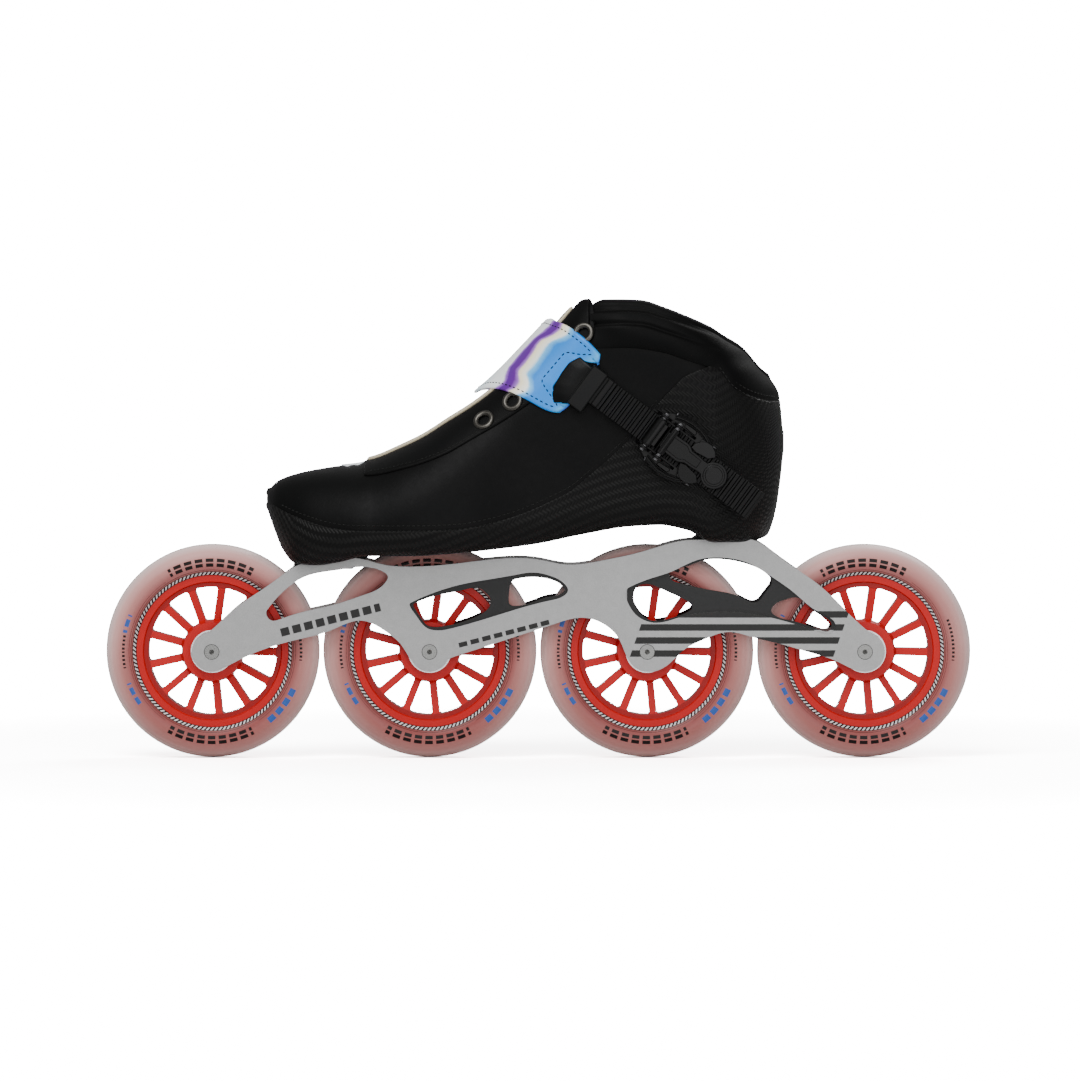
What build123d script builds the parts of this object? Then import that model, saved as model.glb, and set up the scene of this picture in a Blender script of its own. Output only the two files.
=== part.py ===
from build123d import *
import os
from math import cos, pi, radians, sin, sqrt

# Inline speed skate for the left foot, in millimetres.
# -X is the toe, +X the heel, -Y the outer (lateral) side, +Z up.
# The origin is on the ground, midway between the first and last axles.

# Driving dimensions
WHEEL_R = 55.0
WHEEL_COUNT = 4
AXLE_PITCH = 111.76
AXLE_Z = WHEEL_R
TYRE_HALF_WIDTH = 12.0
HUB_R = 39.0
HUB_HALF_WIDTH = 8.5
RIM_INNER_R = 33.0
RIM_STEP_R = 35.2
RIM_STEP = 1.1
BOSS_R = 15.0
SPOKE_COUNT = 13
SPOKE_WIDTH = 3.2
SPOKE_PHASE = -1.25

BEARING_OUTER_R = 11.0
BEARING_BORE_R = 4.0
BEARING_WIDTH = 7.0
BALL_R = 1.98
BALL_PITCH_R = 7.5
BALL_COUNT = 7
RACE_GAP = 0.05
SPACER_LENGTH = 10.3
STACK_HALF = BEARING_WIDTH + SPACER_LENGTH / 2

RAIL_INNER_Y = 15.0
RAIL_OUTER_Y = 18.5
WEB_INNER_Y = 15.2
WEB_OUTER_Y = 16.8
RAIL_BOSS_R = 10.2
AXLE_HEAD_R = 6.5
AXLE_HEAD_LENGTH = 2.6

FRONT_MOUNT_X = -103.0
REAR_MOUNT_X = 92.0
FRONT_BRIDGE_Z = 97.4
REAR_BRIDGE_Z = 104.0
SEAT_HALF = 14.0
WHEEL_WELL_R = 58.0
SOLE_WELL_R = 56.6
SOLE_WELL_HALF = 13.4
BOLT_R = 3.0
BOLT_HEAD_R = 5.6

WALL = 2.6
COLLAR_WALL = 9.0
TONGUE_THICK = 6.0
EYELET_R = 5.2
EYELET_HOLE_R = 3.0

BUCKLE_X = 66.0
BUCKLE_Z = 163.5
BUCKLE_Y = -39.5
LADDER_SLOPE = 36.5
LADDER_HALF = 8.0
RIB_PITCH = 3.6

AXLE_XS = [(i - (WHEEL_COUNT - 1) / 2) * AXLE_PITCH for i in range(WHEEL_COUNT)]

nodes = {}


def value(points, x):
    """Smooth curve through (x, value) points that never overshoots them."""
    if x <= points[0][0]:
        return points[0][1]
    if x >= points[-1][0]:
        return points[-1][1]
    steps = [(b[1] - a[1]) / (b[0] - a[0]) for a, b in zip(points, points[1:])]
    i = max(k for k, p in enumerate(points[:-1]) if p[0] <= x)
    slopes = []
    for k in (i, i + 1):
        if k == 0 or k == len(points) - 1:
            slopes.append(steps[min(k, len(steps) - 1)])
        elif steps[k - 1] * steps[k] <= 0:
            slopes.append(0.0)
        else:
            slopes.append(2 * steps[k - 1] * steps[k] / (steps[k - 1] + steps[k]))
    span = points[i + 1][0] - points[i][0]
    t = (x - points[i][0]) / span
    a = (1 + 2 * t) * (1 - t) ** 2 * points[i][1]
    b = t * (1 - t) ** 2 * span * slopes[0]
    c = t * t * (3 - 2 * t) * points[i + 1][1]
    d = t * t * (t - 1) * span * slopes[1]
    return a + b + c + d


def dome(u, power=2.0):
    """Rounded rise from 0 at an edge to 1 a unit inside it."""
    if u >= 1:
        return 1.0
    if u <= 0:
        return 0.0
    return (1 - (1 - u) ** power) ** (1 / power)


# Boot outline: sole line, top line, and half widths of the outer and inner sides
SOLE = [(-138.5, 128), (-136, 116), (-131, 106), (-124, 101), (-114, 101.5), (-102, 103.6), (-88, 106.8),
        (-65, 106.5), (-40, 107.7), (-3, 111.3), (21.5, 116), (46, 120.1), (62, 121), (77, 118.5),
        (90, 113.5), (106, 113.4), (116, 115.5), (120.3, 126), (122.5, 140), (124.2, 158)]
TOP = [(-138.5, 137), (-133, 142), (-121, 146), (-102, 149.3), (-92, 150.5), (-84, 153), (-71, 159.3),
       (-59, 165.8), (-46.6, 174.5), (-34, 183.5), (-20, 195.5), (-5, 211), (10, 227), (25, 243),
       (42, 252), (62, 252), (80, 246), (95, 233), (106, 216), (116, 199), (122, 187), (124.2, 168)]
OUTER_HALF = [(-138.5, 40), (-110, 41), (-85, 45), (-60, 47.5), (-40, 46.5), (-10, 41), (30, 37), (60, 36),
              (124, 34)]
INNER_HALF = [(-138.5, 42), (-110, 46), (-85, 49), (-65, 49), (-40, 45), (-10, 38.5), (30, 35.5), (60, 36),
              (124, 34)]
HIGH_HALF = [(-138.5, 40), (-60, 42), (-20, 37), (10, 36), (60, 38), (124, 37)]
HEEL_BACK = [(112, 117), (126, 120.5), (140, 122.8), (158, 124.6), (178, 124.2), (188, 122.4),
             (197, 117.5), (206, 110.5), (216, 107), (260, 104)]
TOE_TIP = -139.0


def half_width(x, z, side):
    """Half width of the boot at a point of its side view; side is -1 outer, +1 inner."""
    bottom = value(SOLE, x)
    top = value(TOP, x)
    low = value(OUTER_HALF if side < 0 else INNER_HALF, x)
    high = value(HIGH_HALF, x)
    rise = min(max((z - bottom) / 90.0, 0.0), 1.0)
    plain = low + (high - low) * rise * rise * (3 - 2 * rise)
    crown = dome((top - z) / min(46.0, max(top - bottom, 1.0)), 2.3)
    toe = dome((x - TOE_TIP) / 52.0, 2.2)
    heel = dome((value(HEEL_BACK, z) - x) / 40.0, 2.1)
    edge = 9.0 * (1 - dome((z - bottom) / 12.0)) * min(1.0, (top - bottom) / 40.0)
    return max(plain * crown * toe * heel - edge, 1.2)


# Places of the boot's cross-sections along X, and points up each side of one
STATIONS = [-137, -134, -129, -121, -110, -95, -78, -60, -42, -25, -8, 8, 22, 38, 55, 72, 88, 100, 110,
            116.5, 120.5, 123]
LEVELS = 10


def boot_section(x, grow):
    """Closed section across the boot, moved outward by grow: an arch on a flat sole."""
    bottom = value(SOLE, x)
    top = value(TOP, x)
    place = x * (1 + grow / 131.5)
    halves = []
    for side in (-1, 1):
        half = []
        for k in range(LEVELS):
            t = (1 - cos(pi * k / LEVELS)) / 2
            y = max(half_width(x, bottom + (top - bottom) * t, side) + grow, 1.0)
            half.append(Vector(place, side * y, bottom - grow + (top - bottom + 2 * grow) * t))
        halves.append(half)
    arch = Edge.make_spline(halves[0] + [Vector(place, 0, top + grow)] + halves[1][::-1])
    return Wire([arch, Edge.make_line(halves[1][0], halves[0][0])])


def has_room(x, grow):
    """Whether the section at x is still open after moving inward."""
    height = value(TOP, x) - value(SOLE, x)
    middle = value(SOLE, x) + height / 2
    return height + 2 * grow > 5 and half_width(x, middle, -1) + grow > 3


def boot_body(grow):
    """Solid of the boot's outer form, moved outward by grow."""
    return Solid.make_loft([boot_section(x, grow) for x in STATIONS if has_room(x, grow)])


def side_prism(points, y_low=-90.0, y_high=90.0):
    """Prism across the skate with the given side-view outline."""
    corners = [Vector(x, y_low, z) for x, z in points]
    face = Face(Wire.make_polygon(corners, close=True))
    return Solid.extrude(face, Vector(0, y_high - y_low, 0))


def side_curve_prism(points, y_low=-90.0, y_high=90.0):
    """Prism across the skate with a smooth side-view outline through the points."""
    corners = [Vector(x, y_low, z) for x, z in points]
    face = Face(Wire([Edge.make_spline(corners, periodic=True)]))
    return Solid.extrude(face, Vector(0, y_high - y_low, 0))


def y_cylinder(radius, x, z, y_low, y_high):
    """Cylinder along Y."""
    shape = Cylinder(radius, y_high - y_low, rotation=(90, 0, 0))
    return Pos(x, (y_low + y_high) / 2, z) * shape


def biggest(shape):
    """Largest solid of a shape."""
    return max(shape.solids(), key=lambda s: s.volume)


def keep(name, *shapes):
    """Stores the solids of a node."""
    solids = [s for shape in shapes for s in shape.solids() if s.volume > 0.05]
    nodes[name] = solids[0] if len(solids) == 1 else Compound(children=solids)


# Wheels
def turned(profile):
    """Solid of revolution about the wheel axis, from (y, r) corners."""
    face = Face(Wire.make_polygon([Vector(y, r, 0) for y, r in profile], close=True))
    return Solid.revolve(face, 360, Axis.X)


def on_axle(shape, i):
    """Places a shape turned about X onto axle i, along Y."""
    return Pos(AXLE_XS[i], 0, AXLE_Z) * Rot(0, 0, 90) * shape


def tyre():
    """Urethane tyre: half-ellipse profile moulded onto the hub rim."""
    arc = [(TYRE_HALF_WIDTH * cos(a), HUB_R + (WHEEL_R - HUB_R) * sin(a))
           for a in [pi * k / 24 for k in range(1, 24)]]
    rim = [(-TYRE_HALF_WIDTH, HUB_R), (TYRE_HALF_WIDTH, HUB_R)]
    outline = [Vector(*rim[0], 0)] + [Vector(y, r, 0) for y, r in arc[::-1]] + [Vector(*rim[1], 0)]
    curve = Edge.make_spline(outline)
    base = Edge.make_line(outline[-1], outline[0])
    return Solid.revolve(Face(Wire([curve, base])), 360, Axis.X)


def spoke_window(k):
    """Cutter for the opening between spokes k and k + 1."""
    step = 2 * pi / SPOKE_COUNT
    middle = radians(SPOKE_PHASE) + (k + 0.5) * step
    near = BOSS_R + 0.8
    far = RIM_INNER_R
    corners = []
    for r in (near, far):
        spread = step / 2 - (SPOKE_WIDTH / 2 + 0.25) / r
        corners.append([(r * cos(middle + s * spread), r * sin(middle + s * spread)) for s in (-1, 1)])
    outline = Wire([
        Edge.make_line(corners[0][0], corners[1][0]),
        Edge.make_three_point_arc(corners[1][0], (far * cos(middle), far * sin(middle)), corners[1][1]),
        Edge.make_line(corners[1][1], corners[0][1]),
        Edge.make_three_point_arc(corners[0][1], (near * cos(middle), near * sin(middle)), corners[0][0])])
    prism = Solid.extrude(Face(outline), Vector(0, 0, 40))
    prism = fillet(prism.edges().filter_by(Axis.Z), 1.3)
    return Pos(0, 0, -20) * prism


def hub():
    """Moulded hub: rim, thirteen spokes and a boss with two bearing seats."""
    step = HUB_HALF_WIDTH - RIM_STEP
    boss = STACK_HALF - 0.3
    half = [(boss, 9.0), (boss, BOSS_R), (6.0, BOSS_R + 1.5), (step, RIM_INNER_R), (step, RIM_STEP_R),
            (HUB_HALF_WIDTH, RIM_STEP_R + 0.6), (HUB_HALF_WIDTH, HUB_R)]
    body = turned(half + [(-y, r) for y, r in half[::-1]])
    cutters = []
    for k in range(SPOKE_COUNT):
        cutter = Rot(90, 0, 0) * spoke_window(k)
        cutters.append(Rot(0, 0, -90) * cutter)
    body = body - cutters
    inner = STACK_HALF - BEARING_WIDTH
    for side in (-1, 1):
        seat = turned([(side * inner, 0), (side * 20, 0), (side * 20, BEARING_OUTER_R),
                       (side * inner, BEARING_OUTER_R)])
        body = body - seat
    return biggest(body)


def bearing_middles():
    """Axial middles of the two bearings."""
    middle = STACK_HALF - BEARING_WIDTH / 2
    return (-middle, middle)


def race(inner_r, outer_r, groove):
    """Bearing ring with its ball groove."""
    half = BEARING_WIDTH / 2
    ring = turned([(-half, inner_r), (half, inner_r), (half, outer_r), (-half, outer_r)])
    return ring - groove


def ball_groove():
    """Torus swept by the balls, with running clearance."""
    return Rot(0, 90, 0) * Torus(BALL_PITCH_R, BALL_R + RACE_GAP)


def bearing_rings():
    """Outer ring, inner ring, pair of shields and ball cage of one bearing, about X."""
    half = BEARING_WIDTH / 2
    outer = race(9.0, BEARING_OUTER_R, ball_groove())
    inner = race(BEARING_BORE_R, 6.1, ball_groove())
    shields = [turned([(s * half, 6.4), (s * half, 9.0), (s * (half - 0.5), 9.0), (s * (half - 0.5), 6.4)])
               for s in (-1, 1)]
    cage = turned([(-1.3, 6.9), (1.3, 6.9), (1.3, 8.2), (-1.3, 8.2)])
    balls = []
    for k in range(BALL_COUNT):
        angle = 2 * pi * k / BALL_COUNT
        ball = Pos(0, BALL_PITCH_R * cos(angle), BALL_PITCH_R * sin(angle)) * Sphere(BALL_R)
        balls.append(ball)
    cage = cage - balls
    return outer, inner, shields, [biggest(cage)] + balls


def axle_bolt():
    """Axle with a low socket head at its inner-side end, about X."""
    end = RAIL_OUTER_Y + AXLE_HEAD_LENGTH
    shank = turned([(-RAIL_OUTER_Y, 0), (-RAIL_OUTER_Y, 3.7), (-RAIL_OUTER_Y + 0.3, BEARING_BORE_R),
                    (RAIL_OUTER_Y, BEARING_BORE_R), (RAIL_OUTER_Y, AXLE_HEAD_R), (end - 0.6, AXLE_HEAD_R),
                    (end, AXLE_HEAD_R - 0.6), (end, 0)])
    socket = Plane.YZ.offset(end - 2.2) * RegularPolygon(2.5, 6, major_radius=False)
    dimple = turned([(-RAIL_OUTER_Y, 0), (-RAIL_OUTER_Y, 1.3), (-RAIL_OUTER_Y + 1.3, 0)])
    return shank - extrude(socket, 6) - dimple


def make_wheels():
    """Four wheels with their bearings, spacers and axles."""
    tyre_shape = tyre()
    hub_shape = hub()
    outer, inner, shields, balls = bearing_rings()
    spacer = turned([(-SPACER_LENGTH / 2, BEARING_BORE_R), (SPACER_LENGTH / 2, BEARING_BORE_R),
                     (SPACER_LENGTH / 2, 5.6), (-SPACER_LENGTH / 2, 5.6)])
    bolt = axle_bolt()
    for i in range(WHEEL_COUNT):
        name = f"wheel_{i + 1}"
        both = [Pos(m, 0, 0) for m in bearing_middles()]
        keep(f"{name}_tyre", on_axle(tyre_shape, i))
        keep(f"{name}_hub", on_axle(hub_shape, i))
        keep(f"{name}_bearing_outer_rings", *[on_axle(p * outer, i) for p in both])
        keep(f"{name}_bearing_shields", *[on_axle(p * s, i) for p in both for s in shields])
        keep(f"{name}_ball_cages", *[on_axle(p * s, i) for p in both for s in balls])
        keep(f"{name}_bearing_inner_rings", *[on_axle(p * inner, i) for p in both])
        keep(f"{name}_spacer", on_axle(spacer, i))
        keep(f"{name}_axle_bolt", on_axle(bolt, i))


# Frame
RAIL_TOP = [(-178, 55), (-173, 61.3), (-164.7, 69), (-156.5, 76.8), (-144, 85.5), (-132, 94),
            (-123.5, 99.5), (-112, 101.5), (-92, 103), (-80, 100), (-66, 98.8), (-41, 100.5),
            (-12, 103.3), (0, 102.5), (13, 100), (33, 102), (54, 106.7), (75, 112.3), (95, 112.6),
            (111, 112.3), (120, 106.7), (132, 97.9), (145, 88.6), (157, 77), (169.5, 65.4), (177.8, 55)]
RAIL_BOTTOM = [(167.64, 44.8), (160, 46.8), (153, 50.3), (140, 54.5), (124, 59.2), (110, 62.6),
               (98, 65.3), (84, 61), (75, 56.3), (66, 48), (55.88, 44.8), (47, 50), (41.6, 61.3),
               (34, 69), (23, 72.6), (8.6, 69.5), (-12, 62.8), (-37, 54.6), (-50, 49), (-57, 45),
               (-63, 48), (-70, 58.2), (-79, 66), (-90.4, 71.1), (-107, 65.9), (-124, 61.3), (-148, 53.5),
               (-160, 47.5), (-167.64, 44.8)]
WINDOW_A = [(-139.3, 76.3), (-132, 85), (-119.6, 93.7), (-102, 97.2), (-81, 96.9), (-77.2, 93.7),
            (-79, 90), (-90.4, 84), (-102.8, 79.8), (-119, 76), (-131.7, 72.1), (-137.8, 71.6)]
WINDOW_B = [(-65.4, 80.3), (-54.8, 85), (-39, 89.8), (-12.2, 94.5), (-2.7, 95.8), (6.7, 93.9),
            (13.1, 90.3), (15.2, 86.6), (12, 83.2), (6.7, 81.6), (-14.3, 76), (-45.4, 66.9), (-50, 66.1),
            (-56.4, 66.9), (-63.5, 74.8)]
WINDOW_C = [(46.6, 88.2), (58.4, 93), (67.9, 96.1), (82.1, 102.4), (93.2, 103.5), (107.4, 100.8),
            (119.2, 94), (132.7, 84.2), (143.7, 75.6), (152.4, 68.5), (150, 64.6), (143.7, 65.3),
            (129.5, 70), (113, 74), (100, 75.6), (88, 75.4), (76, 73.8), (66, 70.8), (60, 70),
            (53.7, 71.6), (48.2, 76.3)]
OPEN_B1 = [(-63.5, 80), (-54.5, 83.4), (-39, 86.7), (-30, 87.6), (-25.5, 84), (-24.3, 80.8),
           (-25.5, 77.6), (-30, 74), (-45.4, 68.7), (-50, 67.9), (-56.4, 68.3), (-62, 75)]
OPEN_B2 = [(-11.5, 92.4), (-3, 93.4), (6, 92.2), (11.6, 89.4), (13.4, 86.6), (11, 84.4), (5.7, 83.3),
           (-10, 78.6), (-14.6, 79.3), (-15, 85), (-14, 90.5)]
OPEN_C1 = [(67.2, 95), (68.5, 92), (72.5, 90.3), (89.3, 86.6), (104, 83), (108.2, 80.8), (111, 80.2),
           (113.5, 81.3), (115.8, 84.3), (119.8, 91.8), (118.4, 93.8), (109.5, 99.3), (99.8, 101.9),
           (91.9, 102.7), (84, 101.9), (74, 98.4)]
OPEN_C2 = [(49, 85), (52, 89.3), (56.4, 89.9), (63, 87.4), (73.5, 82.7), (77.8, 80), (79, 77.6),
           (77, 75.6), (70.8, 73.1), (63, 71), (57.7, 71.2), (53, 74), (49.8, 79)]
OPEN_C3 = [(119.6, 76.6), (121, 79), (126.5, 81.8), (132.5, 82.9), (142.5, 75.2), (150.5, 68.6),
           (149.5, 66), (144, 66.4), (130, 71), (121.6, 73.6)]


def wheel_wells(shape):
    """Cuts clearance for the wheels out of a piece between the rails."""
    for x in AXLE_XS:
        shape = shape - y_cylinder(WHEEL_WELL_R, x, AXLE_Z, -30, 30)
    return shape


def rail():
    """One side rail, drawn on the outer side: plate, bosses and recessed webs."""
    low = -RAIL_OUTER_Y
    high = -RAIL_INNER_Y
    reach = AXLE_XS[-1]
    rear_end = [(reach + RAIL_BOSS_R * cos(radians(a)), AXLE_Z - RAIL_BOSS_R * sin(radians(a))) for a in (30, 60)]
    front_end = [(-x, z) for x, z in rear_end[::-1]]
    plate = side_curve_prism(RAIL_TOP + rear_end + RAIL_BOTTOM + front_end, low, high)
    for window in (WINDOW_A, WINDOW_B, WINDOW_C):
        plate = plate - side_curve_prism(window, low - 1, high + 1)
    webs = [(WINDOW_B, (OPEN_B1, OPEN_B2)), (WINDOW_C, (OPEN_C1, OPEN_C2, OPEN_C3))]
    for window, openings in webs:
        web = side_curve_prism(window, -WEB_OUTER_Y, -WEB_INNER_Y)
        for opening in openings:
            web = web - side_curve_prism(opening, low - 1, high + 1)
        plate = plate + web
    for x in AXLE_XS:
        plate = plate + y_cylinder(7.0, x, AXLE_Z, -RAIL_OUTER_Y, -STACK_HALF)
        plate = plate + y_cylinder(RAIL_BOSS_R, x, AXLE_Z, -RAIL_OUTER_Y, -RAIL_INNER_Y)
        plate = plate - y_cylinder(BEARING_BORE_R, x, AXLE_Z, -30, 0)
    return biggest(plate)


def frame_block(points, bolt_x, floor_z, boot):
    """Bridge between the rails, shaped to the boot's sole, with a countersunk bolt hole."""
    block = side_prism(points, -RAIL_INNER_Y, RAIL_INNER_Y)
    block = wheel_wells(block - boot)
    hole = Pos(bolt_x, 0, floor_z) * Cylinder(BOLT_R, 60)
    return biggest(block - hole - bolt_head(bolt_x, floor_z))


def bolt_head(bolt_x, floor_z):
    """Countersunk head, flush with the bridge's underside."""
    height = BOLT_HEAD_R - BOLT_R
    return Pos(bolt_x, 0, floor_z + height / 2) * Cone(BOLT_HEAD_R, BOLT_R, height)


def mount_bolt(bolt_x, floor_z, top_z):
    """Countersunk bolt that holds the boot on a bridge, head down."""
    shank = Pos(bolt_x, 0, (floor_z + top_z) / 2) * Cylinder(BOLT_R, top_z - floor_z)
    socket = Pos(bolt_x, 0, floor_z) * extrude(RegularPolygon(2.0, 6, major_radius=False), 2.0)
    return (bolt_head(bolt_x, floor_z) + shank) - socket


def make_frame(boot):
    """Rails, bridges, crossbar and the bolts up into the boot."""
    outer_rail = rail()
    keep("rail_outer", outer_rail)
    keep("rail_inner", outer_rail.mirror(Plane.XZ))
    front = [(-126, FRONT_BRIDGE_Z), (-84, FRONT_BRIDGE_Z), (-84, 109), (-123, 109), (-126, 99)]
    rear = [(76, REAR_BRIDGE_Z), (118, REAR_BRIDGE_Z), (113, 110.5), (108, 116), (84, 116), (78, 112)]
    keep("bridge_front", frame_block(front, FRONT_MOUNT_X, FRONT_BRIDGE_Z, boot))
    keep("bridge_rear", frame_block(rear, REAR_MOUNT_X, REAR_BRIDGE_Z, boot))
    middle = side_prism([(-12, 96.6), (12, 96.6), (12, 99.6), (-12, 100.8)], -RAIL_INNER_Y, RAIL_INNER_Y)
    keep("crossbar_middle", biggest(wheel_wells(middle)))
    keep("mount_bolts", mount_bolt(FRONT_MOUNT_X, FRONT_BRIDGE_Z, 108.6),
         mount_bolt(REAR_MOUNT_X, REAR_BRIDGE_Z, 120.6))


# Boot
SHELL_EDGE = [(-145, 130), (-136, 128.5), (-129, 124.7), (-117.9, 120.4), (-105, 116.9), (-92, 115.7),
              (-58, 116.1), (-41, 116.9), (-24, 119.9), (-9.5, 124.2), (3.4, 129.6), (16.3, 136),
              (27, 144.9), (44.7, 160.8), (55, 173), (62, 182), (68.4, 188.4), (74.6, 194.6),
              (82.6, 198.1), (89.7, 199.9), (93.2, 196.4), (97.7, 190.1), (105.7, 184.8), (114.6, 181.7),
              (130, 180)]
COLLAR_SEAM = [(27, 245), (29.5, 226), (31, 211), (45, 211.9), (63, 209.7), (76, 205.3), (89.7, 199.9),
               (93.2, 196.4), (97.7, 190.1), (105.7, 184.8), (114.6, 181.7), (130, 180)]
COLLAR_TOP = [(10, 240), (16, 234.6), (27.7, 235.4), (40, 235.4), (52, 234.4), (64.8, 230.3), (77, 226.1),
              (89.6, 221), (95.8, 216.3), (103, 213), (107, 211), (111, 203.5), (130, 190)]
THROAT = [(-85, 9), (-83, 12.5), (-60, 17), (-30, 20.5), (0, 22), (34, 22)]
EYESTAY_LOW = [(-91, 148), (-88.5, 144.5), (-66.6, 149), (-49.5, 155), (-32.4, 164.4), (-9.5, 178.5),
               (10, 194), (31, 211)]


def throat_cutter(gap):
    """Prism over the throat, the opening in front of the ankle."""
    left = [Vector(x, -w - gap, 118) for x, w in THROAT]
    right = [Vector(x, w + gap, 118) for x, w in THROAT[::-1]]
    face = Face(Wire.make_polygon(left + right, close=True))
    upper = Solid.extrude(face, Vector(0, 0, 140))
    slope = side_prism([(-95, 260), (-95, 141), (-83, 141), (28, 218), (28, 210), (40, 210), (40, 260)])
    return upper & slope


def below(points, floor):
    """Closed side-view outline from a line down to a floor."""
    return points + [(points[-1][0], floor), (points[0][0], floor)]


def make_boot():
    """Shell, upper, collar, tongue, eyestays and footbed from one boot form."""
    outer = boot_body(0.0)
    inner = boot_body(-WALL)
    well = y_cylinder(SOLE_WELL_R, AXLE_XS[1], AXLE_Z, -SOLE_WELL_HALF, SOLE_WELL_HALF)
    roof_half = SOLE_WELL_HALF + WALL
    well_roof = y_cylinder(SOLE_WELL_R + WALL, AXLE_XS[1], AXLE_Z, -roof_half, roof_half)
    deep = boot_body(-COLLAR_WALL)
    full = outer - side_prism(COLLAR_TOP + [(130, 290), (10, 290)])
    shell_zone = side_prism(below(SHELL_EDGE, 80))
    collar_zone = side_prism(COLLAR_SEAM + [(130, 260), (27, 260)])
    throat = throat_cutter(0.0)
    wall = full - (inner - well_roof)
    front_block = side_prism([(-118, 98), (-93, 98), (-93, 109), (-118, 109)], -SEAT_HALF, SEAT_HALF) & outer
    rear_block = side_prism([(80, 110), (106, 110), (106, 121), (80, 121)], -SEAT_HALF, SEAT_HALF) & outer
    keep("carbon_shell", biggest((wall & shell_zone) - well - front_block - rear_block))
    seats = (("front", front_block, FRONT_MOUNT_X), ("rear", rear_block, REAR_MOUNT_X))
    for place, block, x in seats:
        keep(f"sole_insert_{place}", block - Pos(x, 0, 110) * Cylinder(BOLT_R, 60))
    upper = wall - shell_zone - collar_zone - throat
    keep("upper", biggest(upper))
    collar = ((full & collar_zone) - deep) - throat
    keep("collar", biggest(collar))
    floor_line = [(x, value(SOLE, x) + 9.5) for x in range(-125, 120, 12)]
    bed = boot_body(-WALL - 0.3) & side_prism(below(floor_line, 80))
    bed = bed - front_block - rear_block - well_roof
    keep("footbed", biggest(bed))
    tongue_outer = boot_body(-WALL - 0.3)
    tongue_zone = side_prism([(-94, 143), (-94, 170), (22, 262), (24, 237), (24, 214), (0, 196), (-30, 172),
                              (-60, 152), (-86, 139)], -24, 24)
    tongue = (tongue_outer & tongue_zone) - boot_body(-WALL - TONGUE_THICK)
    tongue = tongue & side_prism([(-150, 80), (-150, 236.5), (60, 236.5), (60, 80)])
    keep("tongue", biggest(tongue))
    skin = boot_body(1.2)
    stay_zone = side_prism(EYESTAY_LOW + [(28, 232), (14, 233), (-30, 200), (-91, 165)])
    stays = ((skin & stay_zone) - outer) - throat
    for side, low, high in (("outer", -90, 0), ("inner", 0, 90)):
        half = stays & side_prism([(-150, 80), (150, 80), (150, 260), (-150, 260)], low, high)
        keep(f"eyestay_{side}", biggest(half))
    return outer


EYELETS = [(-27.3, 173.4), (-12.6, 183.3), (0.5, 194.0), (12.5, 206.0), (23.5, 218.1)]


def normal_at(x, z, side):
    """Outward unit normal of the boot's form."""
    step = 1.0
    dx = (half_width(x + step, z, side) - half_width(x - step, z, side)) / (2 * step)
    dz = (half_width(x, z + step, side) - half_width(x, z - step, side)) / (2 * step)
    size = sqrt(1 + dx * dx + dz * dz)
    return Vector(-dx / size, side / size, -dz / size)


def eyelet(x, z, side):
    """Metal eyelet with a rounded flange, its axis square to the eyestay."""
    normal = normal_at(x, z, side)
    foot = Vector(x, side * half_width(x, z, side), z)
    plane = Plane(origin=foot, x_dir=Vector(1, 0, 0).cross(normal), z_dir=normal)
    flange = plane * (Pos(0, 0, 1.2 + 0.5) * Cylinder(EYELET_R, 1.0))
    barrel = plane * (Pos(0, 0, -0.5) * Cylinder(EYELET_HOLE_R + 0.5, 4.4))
    hole = plane * Cylinder(EYELET_HOLE_R, 30)
    return flange, barrel, hole


def make_eyelets():
    """Five eyelets on each side, seated in holes through the eyestay and the upper."""
    for side, word in ((-1, "outer"), (1, "inner")):
        rings = []
        for x, z in EYELETS:
            flange, barrel, hole = eyelet(x, z, side)
            rings.append((flange + barrel) - hole)
            for name in (f"eyestay_{word}", "upper"):
                nodes[name] = biggest(nodes[name] - (flange + barrel))
            if x > 20:
                nodes["collar"] = biggest(nodes["collar"] - (flange + barrel))
        keep(f"eyelets_{word}", *rings)


STRAP_OUTER = [(-34.7, 186), (-40, 200), (0, 240), (12, 232), (19.5, 219.6), (31.4, 209.2), (32.1, 204.3),
               (28.4, 205), (21.5, 206.7), (16.6, 203.8), (11.7, 196.4), (7.7, 190.4), (8.2, 186),
               (14.4, 180), (10.1, 176.6), (5.7, 177.6), (-5.6, 184.5), (-18, 189), (-25, 189.5)]
STRAP_INNER = [(-34.7, 186), (-40, 200), (0, 240), (12, 232), (30, 212), (60, 172), (72, 152), (52, 138),
               (34, 154), (14, 172), (-5.6, 182)]


STRAP_LOW = 2.9
STRAP_TOP = 4.4


def make_strap():
    """Instep strap: a thin band over the instep, sewn down on the inner side."""
    band = boot_body(STRAP_TOP) - boot_body(STRAP_LOW)
    outer_part = band & side_prism(STRAP_OUTER, -90, 0)
    inner_part = band & side_prism(STRAP_INNER, 0, 90)
    keep("instep_strap", biggest(outer_part.fuse(inner_part)))


BUCKLE = Plane(origin=(BUCKLE_X, BUCKLE_Y, BUCKLE_Z), z_dir=(0, -1, 0),
               x_dir=(cos(radians(LADDER_SLOPE)), 0, -sin(radians(LADDER_SLOPE))))
BASE_TOP = 1.4
LADDER_LOW = 1.7
LADDER_THICK = 1.8
RIB_TOP = 4.4
LEVER_PIN_N = 7.0
PAWL_PIN_S = -8.6
PAWL_PIN_N = 7.0
WALL_IN = 9.2
WALL_OUT = 11.4
RIVET_S = (7.0, 16.0)


def slab(s0, s1, half_t, n0, n1, t_mid=0.0):
    """Box in the buckle's own axes: s along the ladder, t across it, n outward."""
    return Pos((s0 + s1) / 2, t_mid, (n0 + n1) / 2) * Box(s1 - s0, 2 * half_t, n1 - n0)


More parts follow.
